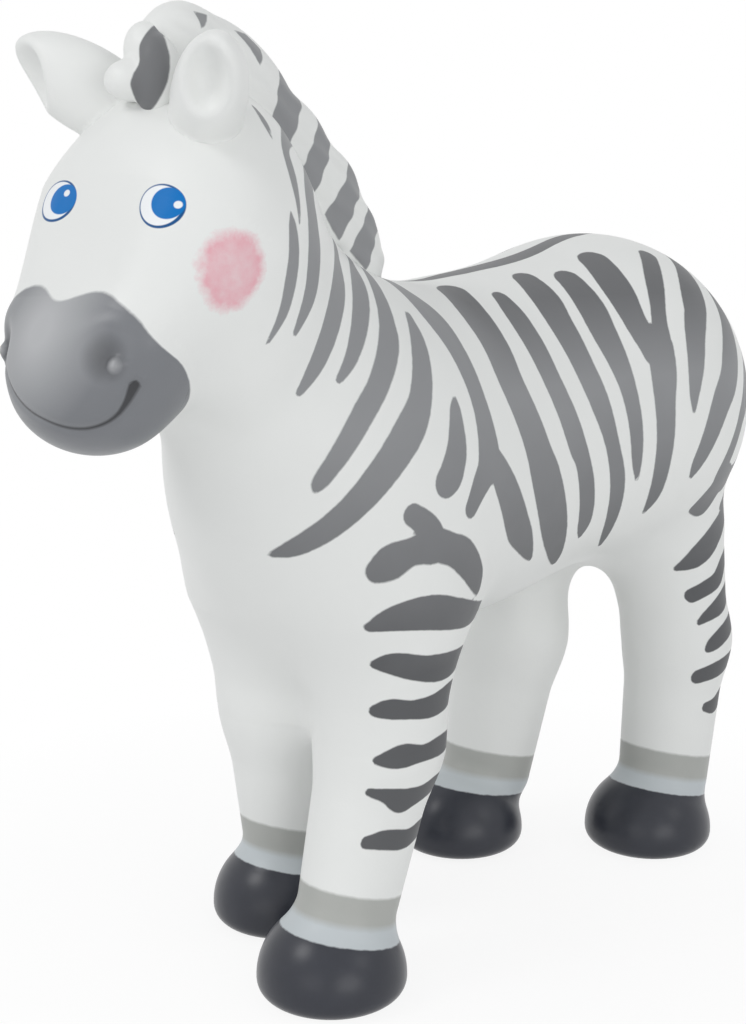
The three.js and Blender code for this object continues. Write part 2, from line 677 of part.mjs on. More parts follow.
const tailShape = rope(tailSeats.map((place) => place.centre), TAIL_POINTS.map((point) => point[2]));
const tailSolid = tailShape.subtract(seatSolid).add(tailPlug.peg);

// Locating pins of the left half, in the middle of the trunk's wall, with one in the head
const barrelCentre = [0, BARREL_Y, BARREL_Z];
const pinPlaces = PIN_ANGLES.map((angle) => {
  const direction = [0, Math.cos(radians(angle)), Math.sin(radians(angle))];
  const place = plus(barrelCentre, direction, reach(barrelCentre, direction, trunk, -TRUNK_WALL / 2));
  return { place, radius: PIN_RADIUS };
});
pinPlaces.push({ place: skullCentre, radius: HEAD_PIN_RADIUS });

function bodyHalf(side) {
  let half = bodySolid.intersect(halfSpace(side)).subtract(cavitySolid);
  for (const one of [...manePlugs, forelockPlug, tailPlug, earPlugs[side]]) {
    half = half.subtract(one.socket);
  }
  for (const { place, radius } of pinPlaces) {
    const root = plus(place, [PIN_LENGTH / 2, 0, 0]);
    const length = 1.5 * PIN_LENGTH;
    if (side > 0) half = half.add(bar(root, [-1, 0, 0], radius, length));
    else half = half.subtract(bar(root, [-1, 0, 0], radius + FIT, length + FIT));
  }
  return half;
}

// A solid's triangles as a named, coloured mesh
function meshOf(name, manifold, material) {
  const { vertProperties, triVerts, numProp } = manifold.getMesh();
  const positions = [];
  for (let i = 0; i < vertProperties.length; i += numProp) {
    positions.push(vertProperties[i], vertProperties[i + 1], vertProperties[i + 2]);
  }
  const geometry = new THREE.BufferGeometry();
  geometry.setAttribute("position", new THREE.Float32BufferAttribute(positions, 3));
  geometry.setIndex(Array.from(triVerts));
  geometry.computeVertexNormals();
  const mesh = new THREE.Mesh(geometry, material);
  mesh.name = name;
  return mesh;
}

const vinyl = new THREE.MeshStandardMaterial({ color: 0xe9eaea, roughness: 0.45, metalness: 0 });
const paintedHair = new THREE.MeshStandardMaterial({ color: 0x87898b, roughness: 0.5, metalness: 0 });

const zebra = new THREE.Group();
zebra.name = "toy_zebra";
zebra.add(meshOf("body_left", bodyHalf(1), vinyl));
zebra.add(meshOf("body_right", bodyHalf(-1), vinyl));
zebra.add(meshOf("ear_left", earSolid(1), vinyl));
zebra.add(meshOf("ear_right", earSolid(-1), vinyl));
zebra.add(meshOf("mane", maneSolid, paintedHair));
zebra.add(meshOf("forelock", forelockSolid, paintedHair));
zebra.add(meshOf("tail", tailSolid, paintedHair));

// The origin is on the ground, in the middle of the figure's length
const extent = new THREE.Box3().setFromObject(zebra);
zebra.position.y = -(extent.min.y + extent.max.y) / 2;

export default zebra;
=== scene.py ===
"""A moulded toy zebra: a painted vinyl skin in two halves, with ears, mane, forelock and tail.

The skin, ears, mane and forelock are distance fields of round lumps, turned into fine meshes.
The stripes are brush strokes laid on flat sheets and projected onto the skin. Lengths in the
fields are millimetres, along the frame's axes, with the nose towards -Y. Meshes are in metres.
"""

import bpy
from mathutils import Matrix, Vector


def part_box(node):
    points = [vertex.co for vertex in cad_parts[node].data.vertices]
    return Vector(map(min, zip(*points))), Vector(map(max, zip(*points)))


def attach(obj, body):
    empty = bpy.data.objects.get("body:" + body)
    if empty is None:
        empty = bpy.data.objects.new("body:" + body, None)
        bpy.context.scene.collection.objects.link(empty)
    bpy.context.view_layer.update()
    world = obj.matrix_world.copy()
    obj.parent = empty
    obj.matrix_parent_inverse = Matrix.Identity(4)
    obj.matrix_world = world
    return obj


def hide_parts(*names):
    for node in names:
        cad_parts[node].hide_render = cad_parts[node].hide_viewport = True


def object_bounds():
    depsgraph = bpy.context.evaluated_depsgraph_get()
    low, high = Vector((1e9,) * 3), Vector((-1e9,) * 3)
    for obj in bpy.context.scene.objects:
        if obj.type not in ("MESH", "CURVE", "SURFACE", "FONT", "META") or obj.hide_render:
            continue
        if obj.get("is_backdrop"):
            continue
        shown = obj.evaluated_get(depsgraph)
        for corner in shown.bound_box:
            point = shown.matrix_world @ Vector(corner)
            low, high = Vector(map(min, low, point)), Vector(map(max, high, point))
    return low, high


bl_info = {
    "name": "Toy Zebra Figure",
    "version": (1, 0, 0),
    "blender": (4, 5, 0),
    "location": "View3D > Sidebar > Zebra",
    "description": "Dresses a moulded toy zebra: painted skin, ears, mane, forelock, tail and stage",
    "category": "Add Mesh",
}

import math

import bpy
import numpy as np
from mathutils import Vector
from mathutils.geometry import tessellate_polygon

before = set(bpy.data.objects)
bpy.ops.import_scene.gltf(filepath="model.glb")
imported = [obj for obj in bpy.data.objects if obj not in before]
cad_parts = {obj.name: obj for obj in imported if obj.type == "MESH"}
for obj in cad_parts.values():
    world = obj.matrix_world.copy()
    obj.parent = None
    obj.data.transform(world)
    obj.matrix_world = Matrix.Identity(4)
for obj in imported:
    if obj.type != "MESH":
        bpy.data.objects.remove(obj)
CAD_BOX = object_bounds()

MM = 0.001
NOSE_Y = -64.64  # the nose tip along Y in the numbers below
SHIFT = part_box("body_left")[0].y / MM - NOSE_Y  # from those numbers to the frame

# Trunk: centre and half sizes of its lumps
CHEST = ((0, -19.6, 61.0), (18.4, 19.4, 19.4))
BARREL = ((0, 6.0, 65.8), (18.3, 28.0, 19.3))
RUMP = ((0, 30.8, 65.7), (23.5, 19.5, 22.9))
BELLY = ((0, 2.0, 58.0), (15.5, 24.0, 17.5))
BELLY_TILT = 7.0
BELLY_BLEND = 7.0

# Neck and head
NECK_FOOT = (0, -22.9, 64.0)
NECK_TOP = (0, -41.9, 98.4)
NECK_RADII = (15.9, 9.2)
NECK_FLATTENING = 0.935
SKULL = ((0, -43.0, 88.5), (9.2, 9.6, 15.7))
FACE_TOP = (0, -47.6, 92.5)
FACE_FRONT = (0, -56.1, 82.1)
FACE_RADII = (7.5, 4.8)
FACE_WIDENING = 1.33
MUZZLE = ((0, -56.4, 76.6), (10.4, 8.4, 8.0))
FACE_BLEND = 6.8
MUZZLE_BLEND = 5.4
HEAD_BLEND = 8.3

# Legs: side, then Y of hip, knee, ankle and hoof, then radii of hip, knee and ankle
LEGS = (
    (1, (-21.7, -22.4, -28.5, -31.0), (10.0, 7.4, 6.1)),
    (-1, (-20.6, -19.5, -18.7, -20.5), (11.4, 8.3, 6.3)),
    (1, (37.0, 40.9, 38.3, 34.7), (8.6, 7.3, 6.5)),
    (-1, (28.0, 25.7, 21.4, 15.4), (7.8, 8.2, 6.5)),
)
HIP_X, KNEE_X, HOOF_X = 9.5, 9.8, 10.0
HIP_Z, KNEE_Z, ANKLE_Z = 46.0, 30.0, 10.0
KNEE_BLEND = 3.0
HOOF_HALF = (9.2, 9.2, 8.8)
HOOF_Z = 2.4
HOOF_BLEND = 2.0
SOLE_EDGE = 2.4
LEG_BLEND_FROM = 9.0  # the legs blend into each other only above these heights
LEG_BLEND_TO = 30.0
HIND_BLEND_SHARE = 0.7

# Ears: centre, long axis and facing of the left one, and the dish in its front
EAR_CENTRE = (10.0, -48.1, 106.6)
EAR_LEAN = (1.25, -0.77, 0.82)
EAR_FACING = (0.74, -0.46, 0.55)
EAR_HALF = (3.9, 4.8, 10.0)
EAR_UNEVENNESS = 0.5
DISH_CENTRE = (16.5, -54.9, 107.8)
DISH_FACING = (0.68, -0.72, 0.12)
DISH_HALF = (3.0, 4.1, 5.6)
DISH_EDGE = 1.3
EAR_FILLET = 0.5
EAR_SINK = 0.05  # how far the fillet's rim runs under the skin

# Mane tufts: Y and Z of the centre, half length, half height and tilt in degrees
MANE_TUFTS = (
    (-43.4, 109.7, 6.0, 6.7, 0),
    (-36.2, 106.4, 11.7, 6.8, -38.5),
    (-28.7, 99.8, 8.1, 6.7, -48.5),
    (-23.5, 95.7, 7.2, 5.8, -38.5),
    (-19.9, 90.8, 6.9, 5.4, -51.5),
    (-18.2, 87.2, 5.2, 5.2, -53.5),
)
MANE_BLEND = 1.0
FORELOCK_CURLS = (
    ((-0.1, -48.1, 111.1), (2.4, 2.3, 3.0)),
    ((-0.2, -50.3, 107.9), (2.6, 2.7, 2.2)),
    ((2.4, -48.4, 108.0), (2.4, 2.6, 4.6)),
)
SEATING = 0.3  # how far hair and ears sink into the skin
STRAND_SLANT = (0.62, 0.78)  # direction across the mane's strands, in Y and Z
STRAND_WAVES = 2.3

# Tail: angle round the rump's centre, lift over the skin and radius at each point, then the
# distances from the centre at which the skin is looked for, and the pitch and width of its bands
TAIL_POINTS = (
    (41.5, 0.8, 3.0),
    (24.0, 2.2, 2.7),
    (4.0, 2.8, 2.6),
    (-16.0, 3.4, 3.0),
    (-32.0, 5.4, 4.0),
    (-44.0, 8.4, 3.6),
    (-51.0, 12.2, 1.5),
)
TAIL_RAY = (10.0, 40.0, 1501)
TAIL_SIDES = 84
TAIL_BANDS_FROM = 44.0  # the hair below is dark all over
TAIL_BAND_START = 45.0
TAIL_BAND_PITCH = 6.5
TAIL_BAND_HALF = 1.4

# Stripes of the flank: distance back round the rump, height and half width at each point
FLANK_STROKES = (
    ((-41.2, 105.2, 0.2), (-41.4, 103.6, 0.45), (-41.7, 102, 0.15)),
    ((-44.6, 80.8, 0.2), (-43.2, 84.5, 0.8), (-43, 89, 1.0), (-43.2, 92.5, 0.8), (-43.2, 94.4, 0.2)),
    ((-41.7, 93.3, 0.2), (-40.8, 97.8, 0.7), (-39.8, 101, 0.7), (-36.5, 102.3, 1.2), (-33, 102.5, 1.8)),
    ((-40.9, 81.6, 0.4), (-39, 85.7, 1.3), (-38.3, 90, 1.7), (-38.1, 93.1, 1.5), (-37.2, 96.3, 1.4),
     (-34, 98.3, 1.4), (-30.5, 98.2, 1.6)),
    ((-38.3, 74.9, 0.6), (-36.4, 78, 1.3), (-33.8, 82.4, 1.7), (-31.5, 86, 1.7), (-29.6, 89.2, 0.8),
     (-26.5, 91.4, 0.6)),
    ((-33.2, 75.8, 0.5), (-31.2, 78.1, 0.9), (-28, 82.8, 1.4), (-26.1, 85.8, 1.4), (-24.7, 87.8, 0.6),
     (-22.5, 89.2, 0.5)),
    ((-36.4, 63.6, 0.3), (-35.6, 65.2, 0.8), (-31.5, 71.4, 1.2), (-28.6, 74.9, 1.25),
     (-25.3, 79.3, 1.4), (-24, 81.8, 1.2), (-22.2, 85.4, 1.0), (-20.8, 86.9, 0.5), (-19.6, 88, 0.6)),
    ((-38.5, 56, 0.4), (-37, 57.3, 1.0), (-32.8, 61.9, 1.4), (-26.7, 69, 1.85), (-23.6, 73, 1.5),
     (-20.8, 78.5, 1.2), (-19.6, 81.7, 0.5)),
    ((-14.5, 64.5, 2.2), (-14.5, 71, 1.4), (-14.6, 77, 1.5), (-15, 81.5, 1.9), (-15.4, 84.5, 1.1),
     (-14.5, 86.2, 0.9), (-12.5, 86.5, 1.0)),
    ((-0.8, 50, 0.3), (-2, 51.2, 0.8), (-4.3, 53.3, 1.5), (-6.9, 55.8, 2.0), (-9.8, 59.7, 2.0),
     (-12.2, 63, 1.8), (-14, 66, 1.3), (-14.5, 69, 1.3)),
    ((-14.5, 64.5, 2.0), (-16.2, 62.5, 1.6), (-17.8, 59.8, 1.1)),
    ((7, 47.8, 0.3), (6, 49, 1.0), (3.8, 51.6, 1.8), (0.9, 55.5, 2.5), (-2.2, 60.8, 2.7),
     (-4.3, 65.1, 2.4), (-7, 72.5, 2.4), (-7, 77, 2.4), (-6.6, 80.8, 2.4), (-5.4, 83.1, 2.1)),
    ((9.3, 51.5, 0.4), (8.7, 53.5, 1.3), (6.8, 58.4, 1.45), (5.1, 62.3, 1.4), (3.5, 65.3, 1.7),
     (0.8, 72.4, 1.7), (0, 77.5, 1.8), (0.1, 80.4, 1.7), (0.5, 82.4, 1.2)),
    ((16.7, 48.6, 0.3), (15.3, 51.1, 0.9), (14, 54.6, 1.2), (12.6, 58.7, 1.3), (10.4, 64, 1.2),
     (8.4, 69.5, 1.65), (7, 74.2, 1.8), (6.5, 79, 2.1), (7.2, 82, 2.3), (7.9, 84.1, 1.8)),
    ((16, 58.5, 0.3), (15, 62, 0.9), (13.5, 70.5, 1.3), (12.5, 77, 2.0), (12.9, 80.6, 2.2),
     (13.6, 83.9, 1.8)),
    ((19, 75, 2.0), (18, 78.5, 1.8), (18.8, 82.8, 2.3), (20.3, 85.9, 2.1)),
    ((20.4, 75.6, 1.5), (22.1, 79.4, 1.1), (25.1, 83.2, 1.3), (29.2, 86.2, 1.2)),
    ((20, 75.5, 2.1), (19.4, 72, 2.0), (19, 68, 1.6), (19.4, 61, 1.3), (20, 56, 1.0), (20, 53.3, 0.3)),
    ((23.6, 67, 0.3), (23.9, 69.5, 0.9), (25, 73, 1.4), (26.5, 76.5, 1.7), (28.2, 78.8, 1.8),
     (30.1, 81, 2.0), (33.6, 84, 1.5), (37, 86.2, 0.7)),
    ((25.1, 58, 0.4), (25.8, 60.4, 1.2), (28.4, 66.6, 1.8), (31.1, 70.3, 1.9), (33, 73.5, 1.9),
     (35.7, 77.4, 1.7), (38.5, 81, 1.5), (42.5, 83.5, 0.5)),
    ((32.7, 56.4, 2.0), (32.2, 58, 1.3), (33.9, 63.5, 1.0), (35.2, 66, 1.2), (38.5, 70.5, 1.6),
     (43.5, 74, 1.5), (49, 76, 0.5)),
    ((33.5, 56, 1.9), (36.5, 56.2, 1.7), (39.3, 57.9, 1.5), (44, 61.5, 1.6), (50, 65, 1.2),
     (54, 66.5, 0.4)),
    ((33.5, 56, 2.3), (32, 53.7, 2.3), (30.5, 53, 1.5), (29.2, 52.5, 0.6)),
    ((38.5, 51.5, 0.4), (42.5, 52.8, 1.4), (47.5, 55, 1.4), (54, 57.5, 0.5)),
    ((-18.5, 72.5, 0.3), (-19, 71, 0.9), (-20, 67, 1.5), (-21.2, 64.3, 1.8), (-22, 63.4, 1.7)),
    ((-23.5, 56.5, 1.6), (-21, 55.5, 1.5), (-18.5, 54, 1.7), (-15.5, 51, 1.3), (-15, 50, 0.6)),
    ((-23.5, 56.5, 1.6), (-24.5, 58.5, 1.4), (-26.6, 60.2, 1.2)),
    ((-24, 56.5, 1.8), (-26.5, 56, 1.3), (-29, 55, 1.6), (-30.4, 54.1, 1.1)),
)

# Bands of the legs: distance round the leg from its outer side to the back, height, half width
FORE_BANDS = (
    ((-7.4, 47.2, 0.6), (-5, 48.2, 1.6), (-2.1, 48.4, 2.1), (1, 47.5, 1.9), (4, 46.6, 1.5), (8, 46, 0.7)),
    ((-7, 42.4, 0.6), (-5.2, 42.4, 1.4), (-2.4, 41.5, 1.6), (1, 40.9, 1.8), (5, 40.8, 1.5), (9, 40.2, 0.8)),
    ((-7, 36.4, 0.8), (-5.3, 36.6, 1.3), (-3, 36.3, 1.2), (0, 36.2, 1.5), (4, 36.6, 1.7), (8.5, 36, 0.9)),
    ((-6.8, 30.3, 0.5), (-5, 30.5, 1.2), (-3.5, 30.7, 1.5), (-1, 30.6, 1.1), (3, 30.7, 1.3), (9, 30.2, 0.8)),
    ((-7, 26.4, 0.5), (-4.6, 25.9, 0.9), (-2, 25, 1.5), (0.5, 25.2, 1.2), (4, 25.6, 1.2), (9.5, 25, 0.6)),
    ((-6, 20.4, 0.8), (-3.4, 20.5, 1.2), (0.5, 19.9, 1.2), (4, 20.1, 1.2), (9, 19.4, 0.8)),
)
HIND_BANDS = (
    ((-6.4, 43, 0.4), (-3.8, 44.3, 1.4), (-1.4, 46.3, 1.9), (1.5, 49, 1.7), (6, 51, 0.9)),
    ((-4.6, 38.7, 1.1), (-2.1, 39.6, 1.2), (0.5, 40.6, 1.3), (3, 42.8, 1.3), (8, 45, 0.7)),
    ((-3.9, 34.4, 0.4), (-2.2, 35.3, 0.9), (1, 36.6, 1.5), (4.5, 38, 1.5), (9.5, 39.2, 0.7)),
    ((-3, 30.3, 0.6), (-1.8, 31, 1.1), (1, 32.2, 1.3), (5, 33.3, 1.2), (9, 33.6, 0.6)),
    ((-4, 26.2, 1.1), (0, 26.9, 1.4), (4.5, 27.6, 1.3), (9, 27.4, 0.7)),
    ((-1.4, 21.3, 0.7), (1, 21.1, 1.2), (4, 21.8, 1.5), (8.5, 21.6, 0.7)),
)
STROKE_REACH = 3.0  # distances to a stroke are worked out this far
LEG_SHEET_RADIUS = 8.0
RUMP_SHEET_RADIUS = 21.0
FLANK_SHEET_RADIUS = 19.0
NECK_SHEET_END = -19.0
NECK_SHEET_FADE = 10.0
FLANK_RAY = (40.0, 0.5, 160)  # distances from the middle at which the skin is looked for
FLANK_FOOT = 44.0  # the flank's stripes end at this height
BAND_TOP = 52.0  # the legs' bands end at this height
BAND_REACH = 12.5  # and this far from the leg's middle
RIGHT_STRAY = (0.9, 0.6)  # how the right side's stripes stray from the left's
RIGHT_WAVES = (0.17, 0.13)
RIGHT_SHIFT = -0.6

# Stripe down the back: Y and half width, and the lowest height at which it is painted
BACK_STRIPE = ((-10, 0.2), (-4, 0.9), (2, 1.7), (8, 2.0), (14, 1.7), (20, 1.4), (27, 1.5), (33, 0.2))
BACK_STRIPE_FROM = 73.7

# Tone of the stripes, painted light: a lighter grey as painted sheen on the flank, darker as painted shade
# low down and over these ranges on the back and on the brow
LOW_SHADE_FROM = 70.0
LOW_SHADE_GAIN = 0.035
BACK_SHADE_Z, BACK_SHADE_Y = (72.0, 82.0), (-14.0, -5.67)
BROW_SHADE_Z, BROW_SHADE_Y = (98.0, 100.0), (-46.0, -49.33)

# Bands across the mane and its small marks, as outlines in Y and Z
MANE_BANDS = (
    ((-29.2, 110.8), (-26.2, 107.2), (-28.7, 104.5), (-31.6, 100.2), (-33.9, 103.2), (-31.8, 108.2)),
    ((-23.8, 105.6), (-22.2, 102.6), (-25.5, 98.2), (-27.1, 95.4), (-29.5, 98), (-27.5, 101.1)),
    ((-18.8, 100.5), (-16.8, 96.6), (-19.9, 94.6), (-22.8, 90.2), (-25.2, 93.3), (-23.8, 95.2)),
    ((-15.6, 95.5), (-13.6, 91.8), (-16.8, 90.2), (-18.7, 86.5), (-21.3, 88.9), (-19.8, 91.3)),
    ((-37.7, 113.5), (-35.4, 113.2), (-33.6, 111.6), (-34.8, 109.7), (-36, 111.6)),
    ((-43.3, 115.2), (-41.4, 114.9), (-41.9, 114.2), (-43.3, 113.3)),
)

# Dark hollow of the forelock, as an outline on a sheet turned this far from the front
FORELOCK_SHEET_TURN = 44
FORELOCK_PATCH = (
    (-32.1, 113.6), (-31.0, 111.9), (-30.5, 109.7), (-31.0, 107.1), (-32.5, 104.9), (-33.8, 104.8),
    (-34.6, 107.1), (-34.4, 108.3), (-33.7, 109.7), (-33.8, 111.3), (-33.1, 112.7),
)

# Muzzle paint: its upper edge over X, its rear edge over Z, and the oval where a painted highlight makes it
# palest
MUZZLE_TOP_MIDDLE = 86.2
MUZZLE_LOBE_RISE = 0.8
MUZZLE_LOBE_X = 5.6
MUZZLE_LOBE_SHIFT = 0.2
MUZZLE_REAR = ((66, -55.5), (68.5, -53), (71.3, -51.3), (73.9, -50.7), (76.4, -51.9), (79, -54.3),
               (81.5, -57.6), (84, -58.9), (88, -58.6))
MUZZLE_CORNER = 2.0
MUZZLE_BEHIND = -40.0  # nothing behind this Y is muzzle
SNOUT_HIGHLIGHT_HALF = (7.5, 8.5)
SNOUT_HIGHLIGHT_HEIGHT = 82.5

# Mouth: place round the muzzle, height and half width along the smile, from the far corner
SMILE_SHEET_RADIUS = 9.4
SMILE = ((-9.6, 79.6, 0.4), (-7.0, 77.4, 0.2), (-4.1, 75.6, 0.14), (-1.2, 74.2, 0.13),
         (1.4, 73.4, 0.13), (4.5, 72.75, 0.14), (7.3, 72.65, 0.15), (9.45, 73.15, 0.18),
         (10.9, 74.1, 0.22), (11.75, 75.5, 0.32), (12.15, 76.8, 0.45), (12.35, 77.6, 0.52))
SMILE_FADE = (8.0, -12.0)  # how far beyond its corners the half width falls to this
SMILE_BEHIND = -52.0  # nothing behind this Y is smile
CREASE_BEHIND = -50.0
CREASE_RADIUS = 0.5
CREASE_THIN, CREASE_THICK = 0.6, 1.1
NOSTRIL = (8.8, -61.7, 80.5)
NOSTRIL_RADIUS = 1.9
# Centre of the painted shade laid round each nostril
NOSTRIL_SHADE = (8.7, -61.7, 80.2)
# The nostril's bead, which a painted highlight lightens
NOSTRIL_BEAD = (9.7, -61.1, 79.5)
BEAD_RADIUS = 1.0

# Hooves: height of the paint's edge at a hoof's middle, its fall towards the rear, and how far
# over it the two pale bands of the fetlock end
HOOF_EDGE = 7.8
HOOF_FALL = 0.24
HIND_HOOF_RISE = 0.9
CORONET_RISE = 2.2
FETLOCK_RISE = 5.9

# Eyes: centre X and Z, half width, half height and lean of each, then iris and glint, which
# are places and sizes as a share of the half width and half height
EYES = (
    ((9.9, 95.2), (2.65, 2.2), 0.2, (0.28, 0.13), 0.71, (0.70, 0.07), 0.17),
    ((-6.7, 95.3), (3.5, 2.2), -0.2, (0.28, 0.10), 0.72, (0.36, 0.40), 0.16),
)
EYE_LINE = 0.11
EYE_FRONT = (-44.0, -45.0)  # Y range over which the eyes' paint comes in
BLUSH_CENTRE = (-50.6, 88.7)
BLUSH_HALF = (3.5, 4.4)
BLUSH_SIDE = (8.0, 10.0)

# Lumps a millimetre: tone of the vinyl, depth of the paints, dents and grain of the surface,
# stray of the printed edges, and dabs of the blush
CLOUD_SCALE = 0.09
WEAR_SCALE = 0.35
DENT_SCALE = 0.16
GRAIN_SCALE = 3.2
WOBBLE_SCALE = 1.1
DAB_SCALE = 0.9

# Lamps: name, setting with their power and their share of it, place and size in metres
LAMPS = (
    ("key_lamp", "key", 1.0, (-0.28, -0.62, 0.72), 0.35),
    ("fill_lamp", "fill", 1.0, (0.75, 0.15, 0.55), 0.35),
    ("low_front_lamp", "low", 0.4, (0.2, -0.78, 0.12), 0.5),
    ("low_side_lamp", "low", 1.3, (0.75, -0.28, 0.08), 0.5),
)
LAMP_AIM = (0, 0, 0.06)
SKY_TINT = (0.97, 0.985, 1.0, 1.0)
FLOOR_HALF = 6.0
PAPER_SCALE = 900.0
PAPER_SHADE = 0.985

# Boxes that hold the skin, the left ear, the mane and the forelock
SKIN_BOX = ((-25, -67, -1.5), (25, 54, 111))
EAR_BOX = ((0, -61, 92), (23, -37, 118))
MANE_BOX = ((-5.2, -51.5, 80), (5.2, -10, 118))
FORELOCK_BOX = ((-4.5, -55, 99), (6.5, -43, 116))

# Making of the meshes: grid lines to a coarse cell, how near the surface in coarse cells the
# field is worked out finely, how many places at once, and how often a vertex is settled
STRIDE = 4
NEAR = 2.4
BATCH = 300000
SETTLINGS = 3


def blend(a, b, k):
    """Smooth join of two distances."""
    h = np.maximum(k - np.abs(a - b), 0.0) / k
    return np.minimum(a, b) - h * h * k / 4


def carve(a, b, k):
    """Smooth cut of distance b out of distance a."""
    return -blend(-a, b, k)


def length(p):
    return np.sqrt((p * p).sum(-1))


def unit(v):
    v = np.array(v, float)
    return v / np.linalg.norm(v)


def egg(p, centre, half, tilt=0.0):
    """Distance to an ellipsoid, turned about X by a tilt in degrees."""
    q = p - np.array(centre, float)
    if tilt:
        c, s = math.cos(math.radians(tilt)), math.sin(math.radians(tilt))
        q = np.stack([q[:, 0], c * q[:, 1] + s * q[:, 2], c * q[:, 2] - s * q[:, 1]], -1)
    half = np.array(half, float)
    k0 = length(q / half)
    k1 = length(q / half**2)
    return np.where(k1 > 1e-6, k0 * (k0 - 1) / np.maximum(k1, 1e-6), -half.min())


def from_segment(q, a, b):
    """How far on the way from a to b the nearest point is, 0 to 1, and the offset from it."""
    run = b - a
    h = np.clip((q - a) @ run / max(run @ run, 1e-9), 0, 1)
    return h, q - a - h[:, None] * run


def limb(p, a, b, radii, widening=1.0):
    """Distance to a tapered limb with round ends, stretched along X by a widening."""
    wide = np.array([widening, 1, 1])
    h, off = from_segment(p / wide, np.array(a, float) / wide, np.array(b, float) / wide)
    return (length(off) - (radii[0] + (radii[1] - radii[0]) * h)) * min(1.0, widening)


def joined(p, eggs):
    """Distance to eggs that run into each other."""
    d = egg(p, *eggs[0])
    for one in eggs[1:]:
        d = blend(d, egg(p, *one), MANE_BLEND)
    return d


def leg_field(p, side, ys, radii):
    hip = (side * HIP_X, ys[0], HIP_Z)
    knee = (side * KNEE_X, ys[1], KNEE_Z)
    ankle = (side * HOOF_X, ys[2], ANKLE_Z)
    shaft = blend(limb(p, hip, knee, radii[:2]), limb(p, knee, ankle, radii[1:]), KNEE_BLEND)
    return blend(shaft, egg(p, (side * HOOF_X, ys[3], HOOF_Z), HOOF_HALF), HOOF_BLEND)


def head_field(p, flat):
    beside = p.copy()
    beside[:, 0] = np.maximum(np.abs(p[:, 0]) - flat, 0)
    face = limb(beside, FACE_TOP, FACE_FRONT, FACE_RADII, FACE_WIDENING)
    return blend(blend(egg(beside, *SKULL), face, FACE_BLEND), egg(p, *MUZZLE), MUZZLE_BLEND)


def skin_field(p, form):
    """Distance to the smooth skin, without the small relief of the face."""
    trunk = blend(egg(p, *CHEST), egg(p, *BARREL), form.trunk_blend / MM)
    trunk = blend(trunk, egg(p, *RUMP), form.trunk_blend / MM)
    trunk = blend(trunk, egg(p, *BELLY, BELLY_TILT), BELLY_BLEND)
    d = blend(trunk, limb(p, NECK_FOOT, NECK_TOP, NECK_RADII, NECK_FLATTENING), form.neck_blend / MM)
    rise = np.clip((p[:, 2] - LEG_BLEND_FROM) / (LEG_BLEND_TO - LEG_BLEND_FROM), 0, 1)
    soft = 0.6 + (form.leg_blend / MM - 0.6) * rise
    for side, ys, radii in LEGS:
        softness = soft * (HIND_BLEND_SHARE if ys[0] > 0 else 1)
        d = blend(d, leg_field(p, side, ys, radii), softness)
    d = blend(d, head_field(p, form.head_flat / MM), HEAD_BLEND)
    return carve(d, p[:, 2], SOLE_EDGE)


def smooth_line(points, steps=8, closed=False):
    """Rows along a smooth line through a few given ones, every column smoothed alike."""
    p = np.array(points, float)
    before, after = (p[-1:], p[:2]) if closed else (2 * p[:1] - p[1:2], 2 * p[-1:] - p[-2:-1])
    p = np.vstack([before, p, after])
    t = (np.arange(steps) / steps)[:, None]
    rows = []
    for a, b, c, d in zip(p[:-3], p[1:-2], p[2:-1], p[3:]):
        rows.append(0.5 * (2 * b + (c - a) * t + (2 * a - 5 * b + 4 * c - d) * t**2
                           + (3 * b - a - 3 * c + d) * t**3))
    return np.vstack(rows if closed else rows + [p[-2:-1]])


def stroke_distance(q, strokes):
    """Distance to the nearest brush stroke's edge on a flat sheet, up to a short reach."""
    best = np.full(len(q), STROKE_REACH)
    for stroke in strokes:
        line = smooth_line(stroke)
        margin = line[:, 2].max() + STROKE_REACH
        low, high = line[:, :2].min(0) - margin, line[:, :2].max(0) + margin
        close = np.nonzero(((q > low) & (q < high)).all(1))[0]
        near, least = q[close], best[close]
        for a, b in zip(line[:-1], line[1:]):
            h, off = from_segment(near, a[:2], b[:2])
            least = np.minimum(least, length(off) - (a[2] + (b[2] - a[2]) * h))
        best[close] = least
    return best


def outline_distance(q, corners):
    """Distance to a closed outline, negative inside it."""
    corners = np.array(corners, float)
    best = np.full(len(q), 1e9)
    inside = np.zeros(len(q), bool)
    for a, b in zip(corners, np.roll(corners, -1, 0)):
        best = np.minimum(best, length(from_segment(q, a, b)[1]))
        run, rise = b - a
        spans = (a[1] > q[:, 1]) != (b[1] > q[:, 1])
        inside ^= spans & (q[:, 0] < a[0] + run * (q[:, 1] - a[1]) / (rise or 1.0))
    return np.where(inside, -best, best)


def smile_place(p):
    """Signed distance across the smile on a sheet round the muzzle, and its half width there."""
    round_muzzle = SMILE_SHEET_RADIUS * np.arctan2(p[:, 0], MUZZLE[0][1] - p[:, 1])
    q = np.stack([round_muzzle, p[:, 2]], -1)
    line = smooth_line(SMILE)
    fade, width_there = SMILE_FADE
    ends = []
    for end, inner in ((line[0], line[1]), (line[-1], line[-2])):
        along = end[:2] - inner[:2]
        ends.append([*(end[:2] + fade * along / length(along)), width_there])
    line = np.vstack([ends[:1], line, ends[1:]])
    best = np.full(len(q), 1e9)
    side = np.ones(len(q))
    width = np.zeros(len(q))
    for a, b in zip(line[:-1], line[1:]):
        h, off = from_segment(q, a[:2], b[:2])
        d = length(off)
        nearer = d < best
        best = np.where(nearer, d, best)
        turn = (b[0] - a[0]) * off[:, 1] - (b[1] - a[1]) * off[:, 0]
        side = np.where(nearer, np.sign(turn), side)
        width = np.where(nearer, a[2] + (b[2] - a[2]) * h, width)
    return best * side, width


def bump(p, centre, radius, height):
    return height * np.exp(-((length(p - np.array(centre, float)) / radius) ** 2))


